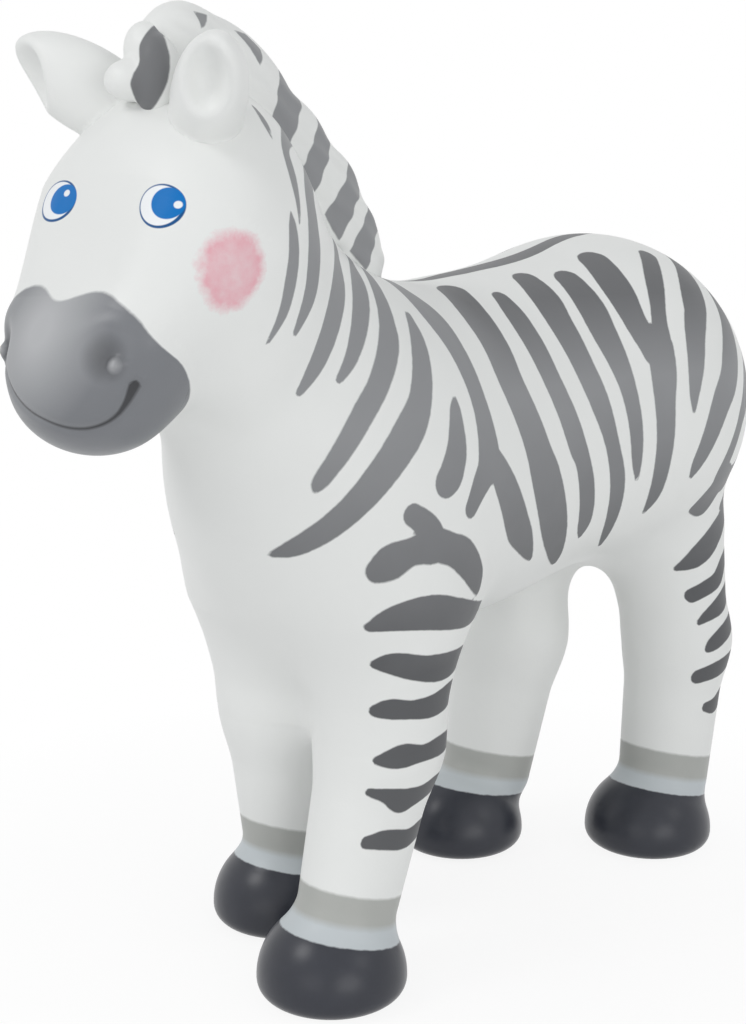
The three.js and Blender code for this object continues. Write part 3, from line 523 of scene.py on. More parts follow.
def face_relief(p, form):
    """How far the skin is pressed in at the nostrils and the mouth."""
    press = np.zeros(len(p))
    for side in (1, -1):
        q = p * np.array([side, 1, 1])
        press += bump(q, NOSTRIL, NOSTRIL_RADIUS, form.nostril_depth / MM)
        press -= bump(q, NOSTRIL_BEAD, BEAD_RADIUS, form.nostril_depth / MM)
    front = p[:, 1] < CREASE_BEHIND
    across, width = smile_place(p[front])
    strength = np.clip(CREASE_THIN + width, 0, CREASE_THICK)
    press[front] += form.mouth_depth / MM * strength * np.exp(-((across / CREASE_RADIUS) ** 2))
    return press


def field_values(field, lines, step):
    """The field on every crossing of the grid lines, worked out finely only near its surface."""
    coarse_lines = [line[::STRIDE] for line in lines]
    coarse = field(np.stack(np.meshgrid(*coarse_lines, indexing="ij"), -1).reshape(-1, 3))
    values = coarse.reshape([len(line) for line in coarse_lines])
    for axis, line in enumerate(lines):
        values = np.repeat(values, STRIDE, axis).take(range(len(line)), axis)
    close = np.nonzero(np.abs(values) < NEAR * STRIDE * step)
    for part in np.array_split(np.arange(len(close[0])), max(len(close[0]) // BATCH, 1)):
        at = tuple(index[part] for index in close)
        values[at] = field(np.stack([line[i] for line, i in zip(lines, at)], -1))
    return values


def slope(field, v):
    """The field's gradient."""
    h = 1e-3
    return np.stack([(field(v + h * e) - field(v - h * e)) / (2 * h) for e in np.eye(3)], -1)


def surface(field, low, high, step, seam=False):
    """Vertices, quads and the column of each vertex, of the field's zero surface. With a seam,
    the vertices of the middle column lie in the plane X = 0."""
    low = np.array(low, float)
    if seam:
        low[0] = -(math.ceil(-low[0] / step) + 0.5) * step
    counts = np.ceil((np.array(high) - low) / step).astype(int) + 1
    lines = [low[i] + step * np.arange(counts[i]) for i in range(3)]
    d = field_values(field, lines, step)
    middle = int(round(-low[0] / step - 0.5))
    if seam:
        plane = np.stack(np.meshgrid([0.0], lines[1], lines[2], indexing="ij"), -1).reshape(-1, 3)
        d[middle] = d[middle + 1] = field(plane).reshape(counts[1:])
    inside = d < 0
    total = np.zeros(counts - 1, int)
    corners = [(i, j, k) for i in (0, 1) for j in (0, 1) for k in (0, 1)]
    for i, j, k in corners:
        total += inside[i:counts[0] - 1 + i, j:counts[1] - 1 + j, k:counts[2] - 1 + k]
    crossed = (total > 0) & (total < 8)
    cells = np.argwhere(crossed)
    index = np.full(crossed.shape, -1)
    index[crossed] = np.arange(len(cells))
    place = np.zeros((len(cells), 3))
    crossings = np.zeros(len(cells))
    for corner in corners:
        for axis in range(3):
            if corner[axis]:
                continue
            other = list(corner)
            other[axis] = 1
            here = d[tuple((cells + corner).T)]
            there = d[tuple((cells + other).T)]
            cut = (here < 0) != (there < 0)
            at = np.tile(np.array(corner, float), (len(cells), 1))
            at[:, axis] = np.where(cut, here / np.where(cut, here - there, 1), 0)
            place[cut] += at[cut]
            crossings[cut] += 1
    v = (cells + place / crossings[:, None]) * step + low
    on_seam = seam & (cells[:, 0] == middle)
    v[on_seam, 0] = 0
    for _ in range(SETTLINGS):
        gradient = slope(field, v)
        gradient[on_seam, 0] = 0
        size = np.maximum((gradient**2).sum(-1), 1e-6)
        move = np.clip(field(v) / size, -0.5 * step, 0.5 * step)
        v = v - move[:, None] * gradient
    quads = []
    for axis in range(3):
        one, two = [(1, 2), (2, 0), (0, 1)][axis]
        first = np.take(inside, range(counts[axis] - 1), axis)
        second = np.take(inside, range(1, counts[axis]), axis)
        edges = np.argwhere(first != second)
        solid = first[tuple(edges.T)]
        ring = []
        for a, b in ((-1, -1), (0, -1), (0, 0), (-1, 0)):
            cell = edges.copy()
            cell[:, one] += a
            cell[:, two] += b
            ring.append(index[tuple(cell.T)])
        quad = np.stack(ring, -1)
        quad[~solid] = quad[~solid][:, ::-1]
        quads.append(quad)
    return v, np.concatenate(quads), cells[:, 0] - middle


def cap_faces(v, quads):
    """Triangles that close a half skin along its open rim in the plane X = 0."""
    edges = np.concatenate([quads[:, [i, (i + 1) % 4]] for i in range(4)])
    rim = edges[(v[edges[:, 0], 0] == 0) & (v[edges[:, 1], 0] == 0)]
    pairs = set(map(tuple, rim.tolist()))
    following = {b: a for a, b in pairs if (b, a) not in pairs}
    faces = []
    while following:
        start = next(iter(following))
        loop = [start]
        after = following.pop(start)
        while after != start:
            loop.append(after)
            after = following.pop(after)
        points = [Vector((v[i, 1], v[i, 2], 0)) for i in loop]
        area = sum(a.x * b.y - b.x * a.y for a, b in zip(points, points[1:] + points[:1]))
        for triangle in tessellate_polygon([points]):
            a, b, c = (points[i] for i in triangle)
            turned = ((b - a).cross(c - a).z > 0) == (area > 0)
            faces.append([loop[i] for i in (triangle if turned else reversed(triangle))])
    return faces


def in_metres(v):
    """Places in the frame, in metres, from places in the numbers above."""
    return (v + np.array([0, SHIFT, 0])) * MM


def store(mesh, name, values):
    """Keeps one number for each vertex of a mesh."""
    layer = mesh.attributes.new(name, "FLOAT", "POINT")
    layer.data.foreach_set("value", np.ascontiguousarray(values, np.float32))


def new_object(name, data):
    """A new object of the scene, with a mesh, a lamp or a camera."""
    made = bpy.data.objects.new(name, data)
    bpy.context.scene.collection.objects.link(made)
    return made


def make_object(name, v, faces, material, node, attributes, normals=None):
    """A finished piece from millimetre vertices: it rides on the root and stands for a node."""
    mesh = bpy.data.meshes.new(name)
    mesh.from_pydata(in_metres(v).tolist(), [], faces)
    mesh.validate()
    mesh.polygons.foreach_set("use_smooth", [True] * len(mesh.polygons))
    for key, values in attributes.items():
        store(mesh, key, values)
    if normals is not None:
        at = np.zeros(len(mesh.loops), int)
        mesh.loops.foreach_get("vertex_index", at)
        per_corner = normals[at]
        for face in mesh.polygons:
            if face.loop_total == 3:
                per_corner[list(face.loop_indices)] = tuple(face.normal)
        mesh.normals_split_custom_set(per_corner.tolist())
    mesh.materials.append(material)
    piece = new_object(name, mesh)
    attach(piece, "root")
    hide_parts(node)


def make_seated(scene, node, material, box, field, marks=None):
    """A small piece on the skin, from a field of places and their distance to the skin, and the
    distance to the marks painted on it."""
    def seated(p):
        skin = skin_field(p, scene.zebra_form)
        return np.maximum(field(p, skin), -(skin + SEATING))

    v, quads, _ = surface(seated, *box, scene.zebra_form.hair_facet / MM)
    painted = {"stripe": np.clip(marks(v), -3, 3)} if marks else {}
    make_object("dressed_" + node, v, quads.tolist(), material, node, painted)


def only_used(v, faces, *tables):
    """The vertices that the faces use, with the faces renumbered and other tables cut to match."""
    used = np.unique(np.concatenate([np.ravel(face) for face in faces]))
    number = np.full(len(v), -1)
    number[used] = np.arange(len(used))
    renumbered = [number[np.asarray(face)].tolist() for face in faces]
    return v[used], renumbered, [table[used] for table in tables]


def unrolled(p):
    """Places on a sheet that wraps the flank: back along the body, then round the rump, and from
    the middle of the body's side up round the back and down round the belly."""
    _, rump_y, middle = RUMP[0]
    back = np.maximum(p[:, 1] - rump_y, 0)
    ahead = np.maximum(CHEST[0][1] - p[:, 1], 0)
    over = p[:, 2] - middle
    along = np.minimum(p[:, 1], rump_y)
    along = along + RUMP_SHEET_RADIUS * np.arctan2(back, np.hypot(p[:, 0], np.maximum(over, 0)))
    out = np.sqrt(p[:, 0] ** 2 + back**2 + ahead**2)
    bent = FLANK_SHEET_RADIUS * np.arctan2(over, out)
    behind_neck = np.clip((p[:, 1] - NECK_SHEET_END) / NECK_SHEET_FADE, 0, 1)
    straight = np.where(over > 0, over + (bent - over) * behind_neck, bent)
    return np.stack([along, middle + straight], -1)


def laid_on_flank(strokes, form):
    """The strokes, given by their height in a side view, moved to their place on the sheet."""
    _, rump_y, middle = RUMP[0]
    reach = np.linspace(*FLANK_RAY)
    laid = []
    for stroke in strokes:
        rows = []
        for along, z, width in stroke:
            turn = max(along - rump_y, 0) / RUMP_SHEET_RADIUS
            aside = reach * math.cos(turn)
            x = np.sqrt(np.maximum(aside**2 - max(z - middle, 0) ** 2, 0))
            y = min(along, rump_y) + reach * math.sin(turn)
            ray = np.stack([x, y, np.full(len(reach), z)], -1)
            inside = skin_field(ray, form) < 0
            found = ray[[np.argmax(inside) if inside.any() else -1]]
            rows.append((along, unrolled(found)[0, 1], width))
        laid.append(rows)
    return laid


def stripe_distance(p, form):
    """Distance to the edge of the nearest painted stripe of the skin."""
    right = p[:, 0] < 0
    sheet = unrolled(p)
    waves = np.sin(p[right, 2] * RIGHT_WAVES[0] + 1.0)
    sheet[right, 0] += RIGHT_STRAY[0] * waves + RIGHT_SHIFT
    sheet[right, 1] += RIGHT_STRAY[1] * np.sin(p[right, 1] * RIGHT_WAVES[1])
    d = stroke_distance(sheet, laid_on_flank(FLANK_STROKES, form))
    d = np.maximum(d, FLANK_FOOT - p[:, 2])
    heights = (ANKLE_Z, KNEE_Z, HIP_Z)
    for side, ys, _ in LEGS:
        mine = np.nonzero((p[:, 2] < BAND_TOP) & (p[:, 0] * side > 0))[0]
        q = p[mine]
        out = q[:, 0] * side - np.interp(q[:, 2], heights, (HOOF_X, KNEE_X, HIP_X))
        back = q[:, 1] - np.interp(q[:, 2], heights, ys[2::-1])
        round_leg = np.stack([LEG_SHEET_RADIUS * np.arctan2(back, out), q[:, 2]], -1)
        bands = stroke_distance(round_leg, FORE_BANDS if ys[0] < 0 else HIND_BANDS)
        d[mine] = np.minimum(d[mine], np.maximum(bands, np.hypot(out, back) - BAND_REACH))
    ys, halves = np.transpose(BACK_STRIPE)
    half = np.interp(p[:, 1], ys, halves, left=-STROKE_REACH, right=-STROKE_REACH)
    top = np.abs(p[:, 0] + 0.4 * np.sin(p[:, 1] * 0.3)) - half
    return np.where(p[:, 2] > BACK_STRIPE_FROM, np.minimum(d, top), d)


def skin_paint(p, form):
    """Signed distances in millimetres to the edges of the skin's painted places."""
    lobes = np.cos(math.pi * (np.abs(p[:, 0] - MUZZLE_LOBE_SHIFT) / MUZZLE_LOBE_X - 1))
    over_top = p[:, 2] - MUZZLE_TOP_MIDDLE - MUZZLE_LOBE_RISE * lobes
    rear = smooth_line(MUZZLE_REAR)
    ahead = np.interp(p[:, 2], rear[:, 0], rear[:, 1]) - p[:, 1]
    muzzle = carve(over_top, ahead, MUZZLE_CORNER)
    across, width = smile_place(p)
    nearest = np.full(len(p), 1e9)
    hoof_edge = np.zeros(len(p))
    for side, ys, _ in LEGS:
        off = np.hypot(p[:, 0] - side * HOOF_X, p[:, 1] - ys[3])
        edge = HOOF_EDGE - HOOF_FALL * (p[:, 1] - ys[3]) + (HIND_HOOF_RISE if ys[0] > 0 else 0)
        hoof_edge = np.where(off < nearest, edge, hoof_edge)
        nearest = np.minimum(nearest, off)
    return {
        "stripe": stripe_distance(p, form),
        "muzzle": np.where(p[:, 1] < MUZZLE_BEHIND, np.clip(muzzle, -5, 5), 5),
        "smile": np.where(p[:, 1] < SMILE_BEHIND, np.clip(across, -5, 5), 5),
        "smile_width": np.clip(width, -2, 2),
        "hoof": np.clip(p[:, 2] - hoof_edge, -5, 12),
    }


class Wire:
    """One output of a node. Sums, products and the like on it add Math nodes."""

    def __init__(self, tree, socket=None):
        self.tree = tree
        self.socket = socket

    def make(self, kind, values=None, output=0, **settings):
        """Adds a node of a kind, sets it up, then fills or links its inputs by name or number."""
        node = self.tree.nodes.new(kind)
        for name, setting in settings.items():
            setattr(node, name, setting)
        for name, value in (values or {}).items():
            if isinstance(value, Wire):
                self.tree.links.new(value.socket, node.inputs[name])
            else:
                node.inputs[name].default_value = value
        return Wire(self.tree, node.outputs[output] if node.outputs else None)

    def output(self, key):
        """Another output of the same node."""
        return Wire(self.tree, self.socket.node.outputs[key])

    def maths(self, operation, *values, clamp=False):
        return self.make("ShaderNodeMath", dict(enumerate(values)), operation=operation,
                         use_clamp=clamp)

    def __add__(self, other):
        return self.maths("ADD", self, other)

    __radd__ = __add__

    def __sub__(self, other):
        return self.maths("SUBTRACT", self, other)

    def __rsub__(self, other):
        return self.maths("SUBTRACT", other, self)

    def __mul__(self, other):
        return self.maths("MULTIPLY", self, other)

    __rmul__ = __mul__

    def __truediv__(self, other):
        return self.maths("DIVIDE", self, other)

    def __abs__(self):
        return self.maths("ABSOLUTE", self)

    def larger(self, other):
        return self.maths("MAXIMUM", self, other)

    def clamped(self):
        return self.maths("ADD", self, 0.0, clamp=True)

    def ramp(self, start, end):
        """0 up to a start, 1 from an end on, and an even rise between them."""
        return ((self - start) / (end - start)).clamped()

    def inside(self, softness):
        """1 where this distance is below zero, 0 above, over an edge of some softness."""
        return (0.5 - self / (2 * softness)).clamped()

    def between(self, one, two):
        """A colour that goes from one to another as this goes from 0 to 1."""
        one, two = (c if isinstance(c, Wire) else (*c, 1.0) for c in (one, two))
        return self.make("ShaderNodeMix", {0: self, 6: one, 7: two}, 2, data_type="RGBA")

    def over(self, colour, mask):
        """A colour laid over this one where a mask is 1."""
        return mask.between(self, colour)


def bare_bench(owner):
    """The emptied node tree of a material or a world, to make nodes on."""
    owner.use_nodes = True
    owner.node_tree.nodes.clear()
    return Wire(owner.node_tree)


def speckle(place, scale, detail=2.0, roughness=0.5):
    """A noise from about -1 to 1 with lumps of 1 / scale millimetres."""
    values = {"Vector": place, "Scale": scale, "Detail": detail, "Roughness": roughness}
    return place.make("ShaderNodeTexNoise", values) * 2.0 - 1.0


def reach_from(place, centre):
    """Distance from a place to a fixed one."""
    return place.make("ShaderNodeVectorMath", {0: place, 1: centre}, "Value", operation="DISTANCE")


def oval(u, v):
    """Distance from the middle for two places across each other."""
    square = u * u + v * v
    return square.maths("SQRT", square)


def painted_vinyl(name, paint, banded=True, face=False):
    """Satin white vinyl with its printed stripes, and on the skin its face, hooves and blush."""
    material = bpy.data.materials.new(name)
    bench = bare_bench(material)
    here = bench.make("ShaderNodeTexCoord", output="Object")
    place = bench.make("ShaderNodeVectorMath", {0: here, "Scale": 1 / MM}, operation="SCALE")
    x = bench.make("ShaderNodeSeparateXYZ", {0: place})
    y, z = x.output("Y") - SHIFT, x.output("Z")

    def distance(key):
        return bench.make("ShaderNodeAttribute", output=2, attribute_name=key)

    cloud = speckle(place, CLOUD_SCALE, 3.0)
    grain = speckle(place, GRAIN_SCALE)
    hand = paint.unevenness / MM * speckle(place, WOBBLE_SCALE)
    edge = paint.edge / MM
    worn = (0.5 + 0.5 * speckle(place, WEAR_SCALE, 3.0)).clamped()
    colour = (0.5 + 0.5 * cloud).clamped().between(paint.vinyl, paint.vinyl_shade)
    roughness = paint.roughness + 0.04 * cloud + 0.03 * grain
    film, coat = 0.0, 0.06

    if banded:
        stripe = (distance("stripe") + hand).inside(edge)
        # Painted shade darkens the stripes low down and on top of the back and brow; elsewhere their lighter
        # grey is a painted sheen
        back = z.ramp(*BACK_SHADE_Z) * y.ramp(*BACK_SHADE_Y)
        brow_shade = z.ramp(*BROW_SHADE_Z) * y.ramp(*BROW_SHADE_Y)
        low = ((LOW_SHADE_FROM - z) * LOW_SHADE_GAIN + 0.15 * cloud).clamped()
        low = (low + 0.75 * back + 0.6 * brow_shade).clamped()
        colour = colour.over(low.between(paint.stripe, paint.stripe_shade), stripe)
        film = film + stripe
        roughness = roughness + 0.05 * stripe
    if face:
        over_hoof = distance("hoof") + 1.5 * hand
        fetlock = (over_hoof - FETLOCK_RISE).inside(0.22)
        coronet = (over_hoof - CORONET_RISE).inside(0.45)
        hoof = over_hoof.inside(edge)
        colour = colour.over(worn.between(paint.fetlock, paint.fetlock_shade), fetlock)
        colour = colour.over(paint.coronet, coronet)
        colour = colour.over(worn.between(paint.hoof, paint.hoof_shade), hoof)

        muzzle = (distance("muzzle") + hand).inside(1.5 * edge)
        # Painted highlight: the muzzle's grey is palest in an oval at its front, and darker at its sides as
        # painted shade
        painted_snout_highlight = (1.2 - oval(x / SNOUT_HIGHLIGHT_HALF[0], (z - SNOUT_HIGHLIGHT_HEIGHT) / SNOUT_HIGHLIGHT_HALF[1])).clamped()
        colour = colour.over(painted_snout_highlight.between(paint.muzzle_shade, paint.muzzle), muzzle)
        side = abs(x)
        flared = bench.make("ShaderNodeCombineXYZ", {0: side, 1: y, 2: z})
        # Painted shade darkens the skin round each nostril
        painted_nostril_shade = (0.8 - 0.28 * reach_from(flared, NOSTRIL_SHADE)).clamped()
        # Painted highlight on the nostril's bead, in the muzzle's pale grey
        painted_bead_highlight = (1.3 - 1.3 * reach_from(flared, NOSTRIL_BEAD)).clamped()
        smile = (abs(distance("smile")) - distance("smile_width")).inside(0.14)
        colour = colour.over(paint.mouth_and_nostril_shade, 0.85 * painted_nostril_shade * muzzle)
        colour = colour.over(paint.muzzle, 0.8 * painted_bead_highlight * muzzle)
        colour = colour.over(paint.mouth_and_nostril_shade, 0.85 * smile * muzzle)
        film = film + hoof + muzzle
        roughness = roughness - 0.08 * hoof - 0.06 * muzzle
        coat = coat + 0.3 * hoof + 0.1 * muzzle

        ring = oval((y - BLUSH_CENTRE[0]) / BLUSH_HALF[0], (z - BLUSH_CENTRE[1]) / BLUSH_HALF[1])
        dab = speckle(place, DAB_SCALE, 3.0, 0.65)
        rosy = ((1.05 + 0.16 * dab - ring) * 3.2).clamped() * side.ramp(*BLUSH_SIDE)
        rosy = rosy * (0.72 + 0.22 * dab - 0.22 * (1.0 - ring).clamped()).clamped()
        colour = colour.over(paint.blush, rosy)

        front = y.ramp(*EYE_FRONT)
        for centre, half, lean, iris_at, iris_size, glint_at, glint_size in EYES:
            u = (x - centre[0] + lean * (z - centre[1])) / half[0]
            v = (z - centre[1]) / half[1]
            soft = 0.05 / half[1]
            rim = oval(u, v) - 1.0
            eye = rim.inside(soft) * front
            ball = (rim + 2.0 * EYE_LINE / half[1] * (1.0 + 0.5 * u - 0.3 * v)).inside(soft)
            iris = (oval(u - iris_at[0], v - iris_at[1]) - iris_size).inside(soft)
            glint = (oval(u - glint_at[0], v - glint_at[1]) - glint_size).inside(soft)
            colour = colour.over(paint.eye_line, eye)
            colour = colour.over(paint.eye_white, eye * ball)
            colour = colour.over(paint.iris, eye * iris)
            colour = colour.over(paint.eye_white, eye * glint)
            film = film + eye
            roughness = roughness - 0.1 * eye
            coat = coat - 0.06 * eye

    height = 0.010 * film + 0.05 * speckle(place, DENT_SCALE) + 0.004 * grain
    normal = bench.make("ShaderNodeBump", {"Strength": 1.0, "Distance": MM, "Height": height})
    shader = bench.make("ShaderNodeBsdfPrincipled", {
        "Base Color": colour, "Roughness": roughness.clamped(), "Normal": normal,
        "IOR": 1.42, "Specular IOR Level": 0.22, "Coat Weight": coat, "Coat Roughness": 0.3})
    bench.make("ShaderNodeOutputMaterial", {"Surface": shader})
    return material


def linear(level):
    """A screen level, 0 to 255, as scene light."""
    return ((level / 255 + 0.055) / 1.055) ** 2.4 if level > 10 else level / 3295


def number_setting(name, description, default, **limits):
    return bpy.props.FloatProperty(name=name, description=description, default=default, **limits)


def length_setting(name, description, default):
    return number_setting(name, description, default, min=0.0, subtype="DISTANCE", unit="LENGTH",
                          precision=5)


def share_setting(name, description, default):
    return number_setting(name, description, default, min=0.0, max=1.0, subtype="FACTOR")


def angle_setting(name, description, degrees):
    return number_setting(name, description, math.radians(degrees), subtype="ANGLE",
                          unit="ROTATION")


def power_setting(name, description, default):
    return number_setting(name, description, default, min=0.0, unit="POWER")


def colour_setting(name, description, *levels):
    """A colour given by its red, green and blue on a screen, 0 to 255."""
    return bpy.props.FloatVectorProperty(name=name, description=description, subtype="COLOR",
                                         default=[linear(level) for level in levels], size=3,
                                         min=0.0, max=1.0)


class ZebraForm(bpy.types.PropertyGroup):
    """Sizes of the moulded forms."""

    skin_facet: length_setting("Skin facet", "Mesh spacing of the skin halves", 0.0005)
    hair_facet: length_setting("Hair facet", "Mesh spacing of mane, forelock and ears", 0.00035)
    trunk_blend: length_setting("Trunk blend", "How softly chest, barrel and rump join", 0.014)
    neck_blend: length_setting("Neck blend", "How softly the neck joins the trunk", 0.012)
    leg_blend: length_setting("Leg blend", "How softly the legs join the trunk", 0.009)
    head_flat: length_setting("Head flat", "Half width of the flat stretch across the head", 0.0066)
    nostril_depth: length_setting("Nostril depth", "How deep the nostrils are pressed in", 0.001)
    mouth_depth: length_setting("Mouth depth", "How deep the mouth is cut", 0.0004)
    mane_half_width: length_setting("Mane half width", "Half the thickness of the mane", 0.004)
    hair_groove: length_setting("Hair groove", "Depth of the strands in the mane", 0.00012)


class ZebraTail(bpy.types.PropertyGroup):
    """Shape of the tail."""

    strands: bpy.props.IntProperty(name="Strands", description="Locks of hair round the tail",
                                   default=7, min=3, max=16)
    groove: share_setting("Groove", "Depth of the grooves as a share of the radius", 0.10)
    twist: number_setting("Twist", "Turn of the locks along the tail", 2.4, subtype="ANGLE",
                          unit="ROTATION")
    spacing: length_setting("Spacing", "Distance between rings of the tail", 0.0005)


class ZebraPaint(bpy.types.PropertyGroup):
    """Colours and finish of the vinyl and its paints."""

    vinyl: colour_setting("Vinyl", "White of the moulded vinyl", 240, 241, 239)
    vinyl_shade: colour_setting("Vinyl shade", "Duller places of the vinyl", 236, 237, 235)
    # Two greys of one stripe paint: the lighter one is a painted sheen, the darker one painted shade
    stripe: colour_setting("Stripe", "Grey of the stripes on the back", 149, 150, 152)
    stripe_shade: colour_setting("Low stripe", "Grey of the stripes on the legs", 95, 96, 98)
    # Lit and shaded copies of the muzzle's grey: a painted highlight at its front, painted shade at its
    # sides
    muzzle: colour_setting("Muzzle", "Grey of the muzzle", 184, 185, 187)
    muzzle_shade: colour_setting("Muzzle shade", "Grey at the muzzle's sides", 128, 130, 134)
    # The mouth's printed line; the same dark is also laid round the nostrils as painted shade
    mouth_and_nostril_shade: colour_setting("Mouth", "Line of the mouth", 56, 56, 58)
    fetlock: colour_setting("Fetlock", "Upper pale band over the hooves", 182, 183, 179)
    fetlock_shade: colour_setting("Fetlock shade", "Darker places of that band", 176, 178, 174)
    coronet: colour_setting("Coronet", "Lower pale band over the hooves", 200, 206, 209)
    hoof: colour_setting("Hoof", "Paint of the hooves", 58, 60, 68)
    hoof_shade: colour_setting("Hoof shade", "Darker places of the hooves", 52, 54, 61)
    blush: colour_setting("Blush", "Dabbed pink of the cheeks", 232, 150, 166)
    iris: colour_setting("Iris", "Blue of the eyes", 0, 116, 194)
    eye_line: colour_setting("Eye line", "Thin line round the eyes", 20, 84, 142)
    eye_white: colour_setting("Eye white", "White of the eyes and their glints", 246, 248, 250)
    roughness: share_setting("Roughness", "Satin finish of the vinyl", 0.42)
    edge: length_setting("Paint edge", "Softness of a printed edge", 0.00009)
    unevenness: length_setting("Unevenness", "How far printed edges stray", 0.00006)


class ZebraStage(bpy.types.PropertyGroup):
    """Camera, lamps and floor."""

    camera_place: bpy.props.FloatVectorProperty(
        name="Camera place", description="Where the camera stands", size=3, unit="LENGTH",
        subtype="TRANSLATION", default=(0.1511, (-169.9 + SHIFT) * MM, 0.1019))
    turn: angle_setting("Turn", "Camera's turn to the left of ahead", 44)
    pitch: angle_setting("Pitch", "Camera's look down", 12)
    lens: number_setting("Lens", "Focal length on a 36 mm side", 61.77,
                         subtype="DISTANCE_CAMERA", unit="CAMERA")
    sky: share_setting("Sky", "Strength of the even light from all round", 0.56)
    key: power_setting("Key lamp", "Power of the main lamp", 1.9)
    fill: power_setting("Fill lamp", "Power of the side lamp", 0.4)
    low: power_setting("Low lamps", "Power of the lamps near the floor", 1.1)
    floor: colour_setting("Floor", "Colour of the floor", 247, 247, 247)


class MakeSkin(bpy.types.Operator):
    """Makes the two halves of the painted skin"""

    bl_idname = "zebra.make_skin"
    bl_label = "Skin"

    def execute(self, context):
        form = context.scene.zebra_form

        def field(p):
            return skin_field(p, form) + face_relief(p, form)

        step = form.skin_facet / MM
        v, quads, column = surface(field, *SKIN_BOX, step, seam=True)
        normals = slope(field, v)
        normals /= np.maximum(length(normals), 1e-9)[:, None]
        paint = skin_paint(v, form)
        material = painted_vinyl("Painted vinyl skin", context.scene.zebra_paint, face=True)
        for side, name, node in ((1, "skin_left", "body_left"), (-1, "skin_right", "body_right")):
            mine = quads[(column[quads] * side >= 0).all(1)]
            faces = list(mine) + cap_faces(v, mine)
            part, renumbered, cut = only_used(v, faces, normals, *paint.values())
            attributes = dict(zip(paint, cut[1:]))
            make_object(name, part, renumbered, material, node, attributes, cut[0])
        return {"FINISHED"}


class MakeEars(bpy.types.Operator):
    """Makes the two leaning, dished ears"""

    bl_idname = "zebra.make_ears"
    bl_label = "Ears"

    def execute(self, context):
        along = unit(EAR_LEAN)
        facing = unit(np.array(EAR_FACING) - np.dot(EAR_FACING, along) * along)
        ear_axes = np.stack([np.cross(along, facing), facing, along], -1)
        out = unit(DISH_FACING)
        aside = unit(np.cross((0, 0, 1), out))
        dish_axes = np.stack([aside, np.cross(out, aside), out], -1)
        material = painted_vinyl("Plain vinyl ears", context.scene.zebra_paint, banded=False)
        for side, node in ((1, "ear_left"), (-1, "ear_right")):
            def field(p, skin, side=side):
                q = p * np.array([side, 1, 1]) + np.array([0, 0, side * EAR_UNEVENNESS])
                shell = egg((q - np.array(EAR_CENTRE)) @ ear_axes, (0, 0, 0), EAR_HALF)
                dish = egg((q - np.array(DISH_CENTRE)) @ dish_axes, (0, 0, 0), DISH_HALF)
                shell = carve(shell, dish, DISH_EDGE)
                return np.maximum(blend(shell, skin + EAR_SINK, EAR_FILLET), shell - EAR_FILLET)

            box = np.array(EAR_BOX) - np.array([EAR_BOX[1][0] if side < 0 else 0, 0, 0])
            make_seated(context.scene, node, material, box, field)
        return {"FINISHED"}


class MakeMane(bpy.types.Operator):
    """Makes the tufted mane with its dark bands"""

    bl_idname = "zebra.make_mane"
    bl_label = "Mane"

    def execute(self, context):
        form = context.scene.zebra_form
        tufts = [((0, y, z), (form.mane_half_width / MM, half_length, half_height), tilt)
                 for y, z, half_length, half_height, tilt in MANE_TUFTS]

        def field(p, skin):
            strands = np.sin(p[:, 1:] @ STRAND_SLANT * STRAND_WAVES + 0.5 * np.sin(p[:, 2]))
            groove = form.hair_groove / MM * np.clip(np.abs(p[:, 0]) / 2 - 0.5, 0, 1)
            return joined(p, tufts) + groove * strands

        def bands(v):
            return np.min([outline_distance(v[:, 1:], band) for band in MANE_BANDS], 0)

        material = painted_vinyl("Banded vinyl mane", context.scene.zebra_paint)
        make_seated(context.scene, "mane", material, MANE_BOX, field, bands)
        return {"FINISHED"}


class MakeForelock(bpy.types.Operator):
    """Makes the curls on the forehead"""

    bl_idname = "zebra.make_forelock"
    bl_label = "Forelock"

    def execute(self, context):
        def field(p, skin):
            return joined(p, FORELOCK_CURLS)

        def patch(v):
            turn = math.radians(FORELOCK_SHEET_TURN)
            sheet = np.stack([v[:, 0] * math.cos(turn) + v[:, 1] * math.sin(turn), v[:, 2]], -1)
            return outline_distance(sheet, smooth_line(FORELOCK_PATCH, 6, closed=True))

        material = painted_vinyl("Banded vinyl forelock", context.scene.zebra_paint)
        make_seated(context.scene, "forelock", material, FORELOCK_BOX, field, patch)
        return {"FINISHED"}


class MakeTail(bpy.types.Operator):
    """Makes the corded tail along the back of the rump"""

    bl_idname = "zebra.make_tail"
    bl_label = "Tail"

    def execute(self, context):
        scene = context.scene
        centre = np.array(RUMP[0], float)
        reach = np.linspace(*TAIL_RAY)
        rows = []
        for angle, lift, radius in TAIL_POINTS:
            along = np.array([0, math.cos(math.radians(angle)), math.sin(math.radians(angle))])
            skin = skin_field(centre + reach[:, None] * along, scene.zebra_form)
            seat = reach[np.argmax(skin > 0)]
            rows.append([*(centre + (seat + lift) * along), radius])
        line = smooth_line(rows, 10)
        points = in_metres(line[:, :3])
        mesh = bpy.data.meshes.new("dressed_tail")
        mesh.from_pydata(points.tolist(), [(i, i + 1) for i in range(len(points) - 1)], [])
        store(mesh, "thickness", line[:, 3] * MM)
        piece = new_object("dressed_tail", mesh)
        material = painted_vinyl("Banded vinyl tail", scene.zebra_paint)
        shape_along_path(piece, scene.zebra_tail, material)
        depsgraph = context.evaluated_depsgraph_get()
        made = bpy.data.meshes.new_from_object(piece.evaluated_get(depsgraph))
        piece.modifiers.clear()
        piece.data = made
        bpy.data.meshes.remove(mesh)
        made.name = "dressed_tail"
        place = np.zeros(len(made.vertices) * 3)
        made.vertices.foreach_get("co", place)
        height = place.reshape(-1, 3)[:, 2] / MM
        over = height - TAIL_BAND_START + 0.5 * np.sin(height * 2.0)
        rings = np.abs(over % TAIL_BAND_PITCH - TAIL_BAND_PITCH / 2) - TAIL_BAND_HALF
        store(made, "stripe", np.where(height > TAIL_BANDS_FROM, rings, -2.0))
        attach(piece, "root")
        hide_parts("tail")
        return {"FINISHED"}


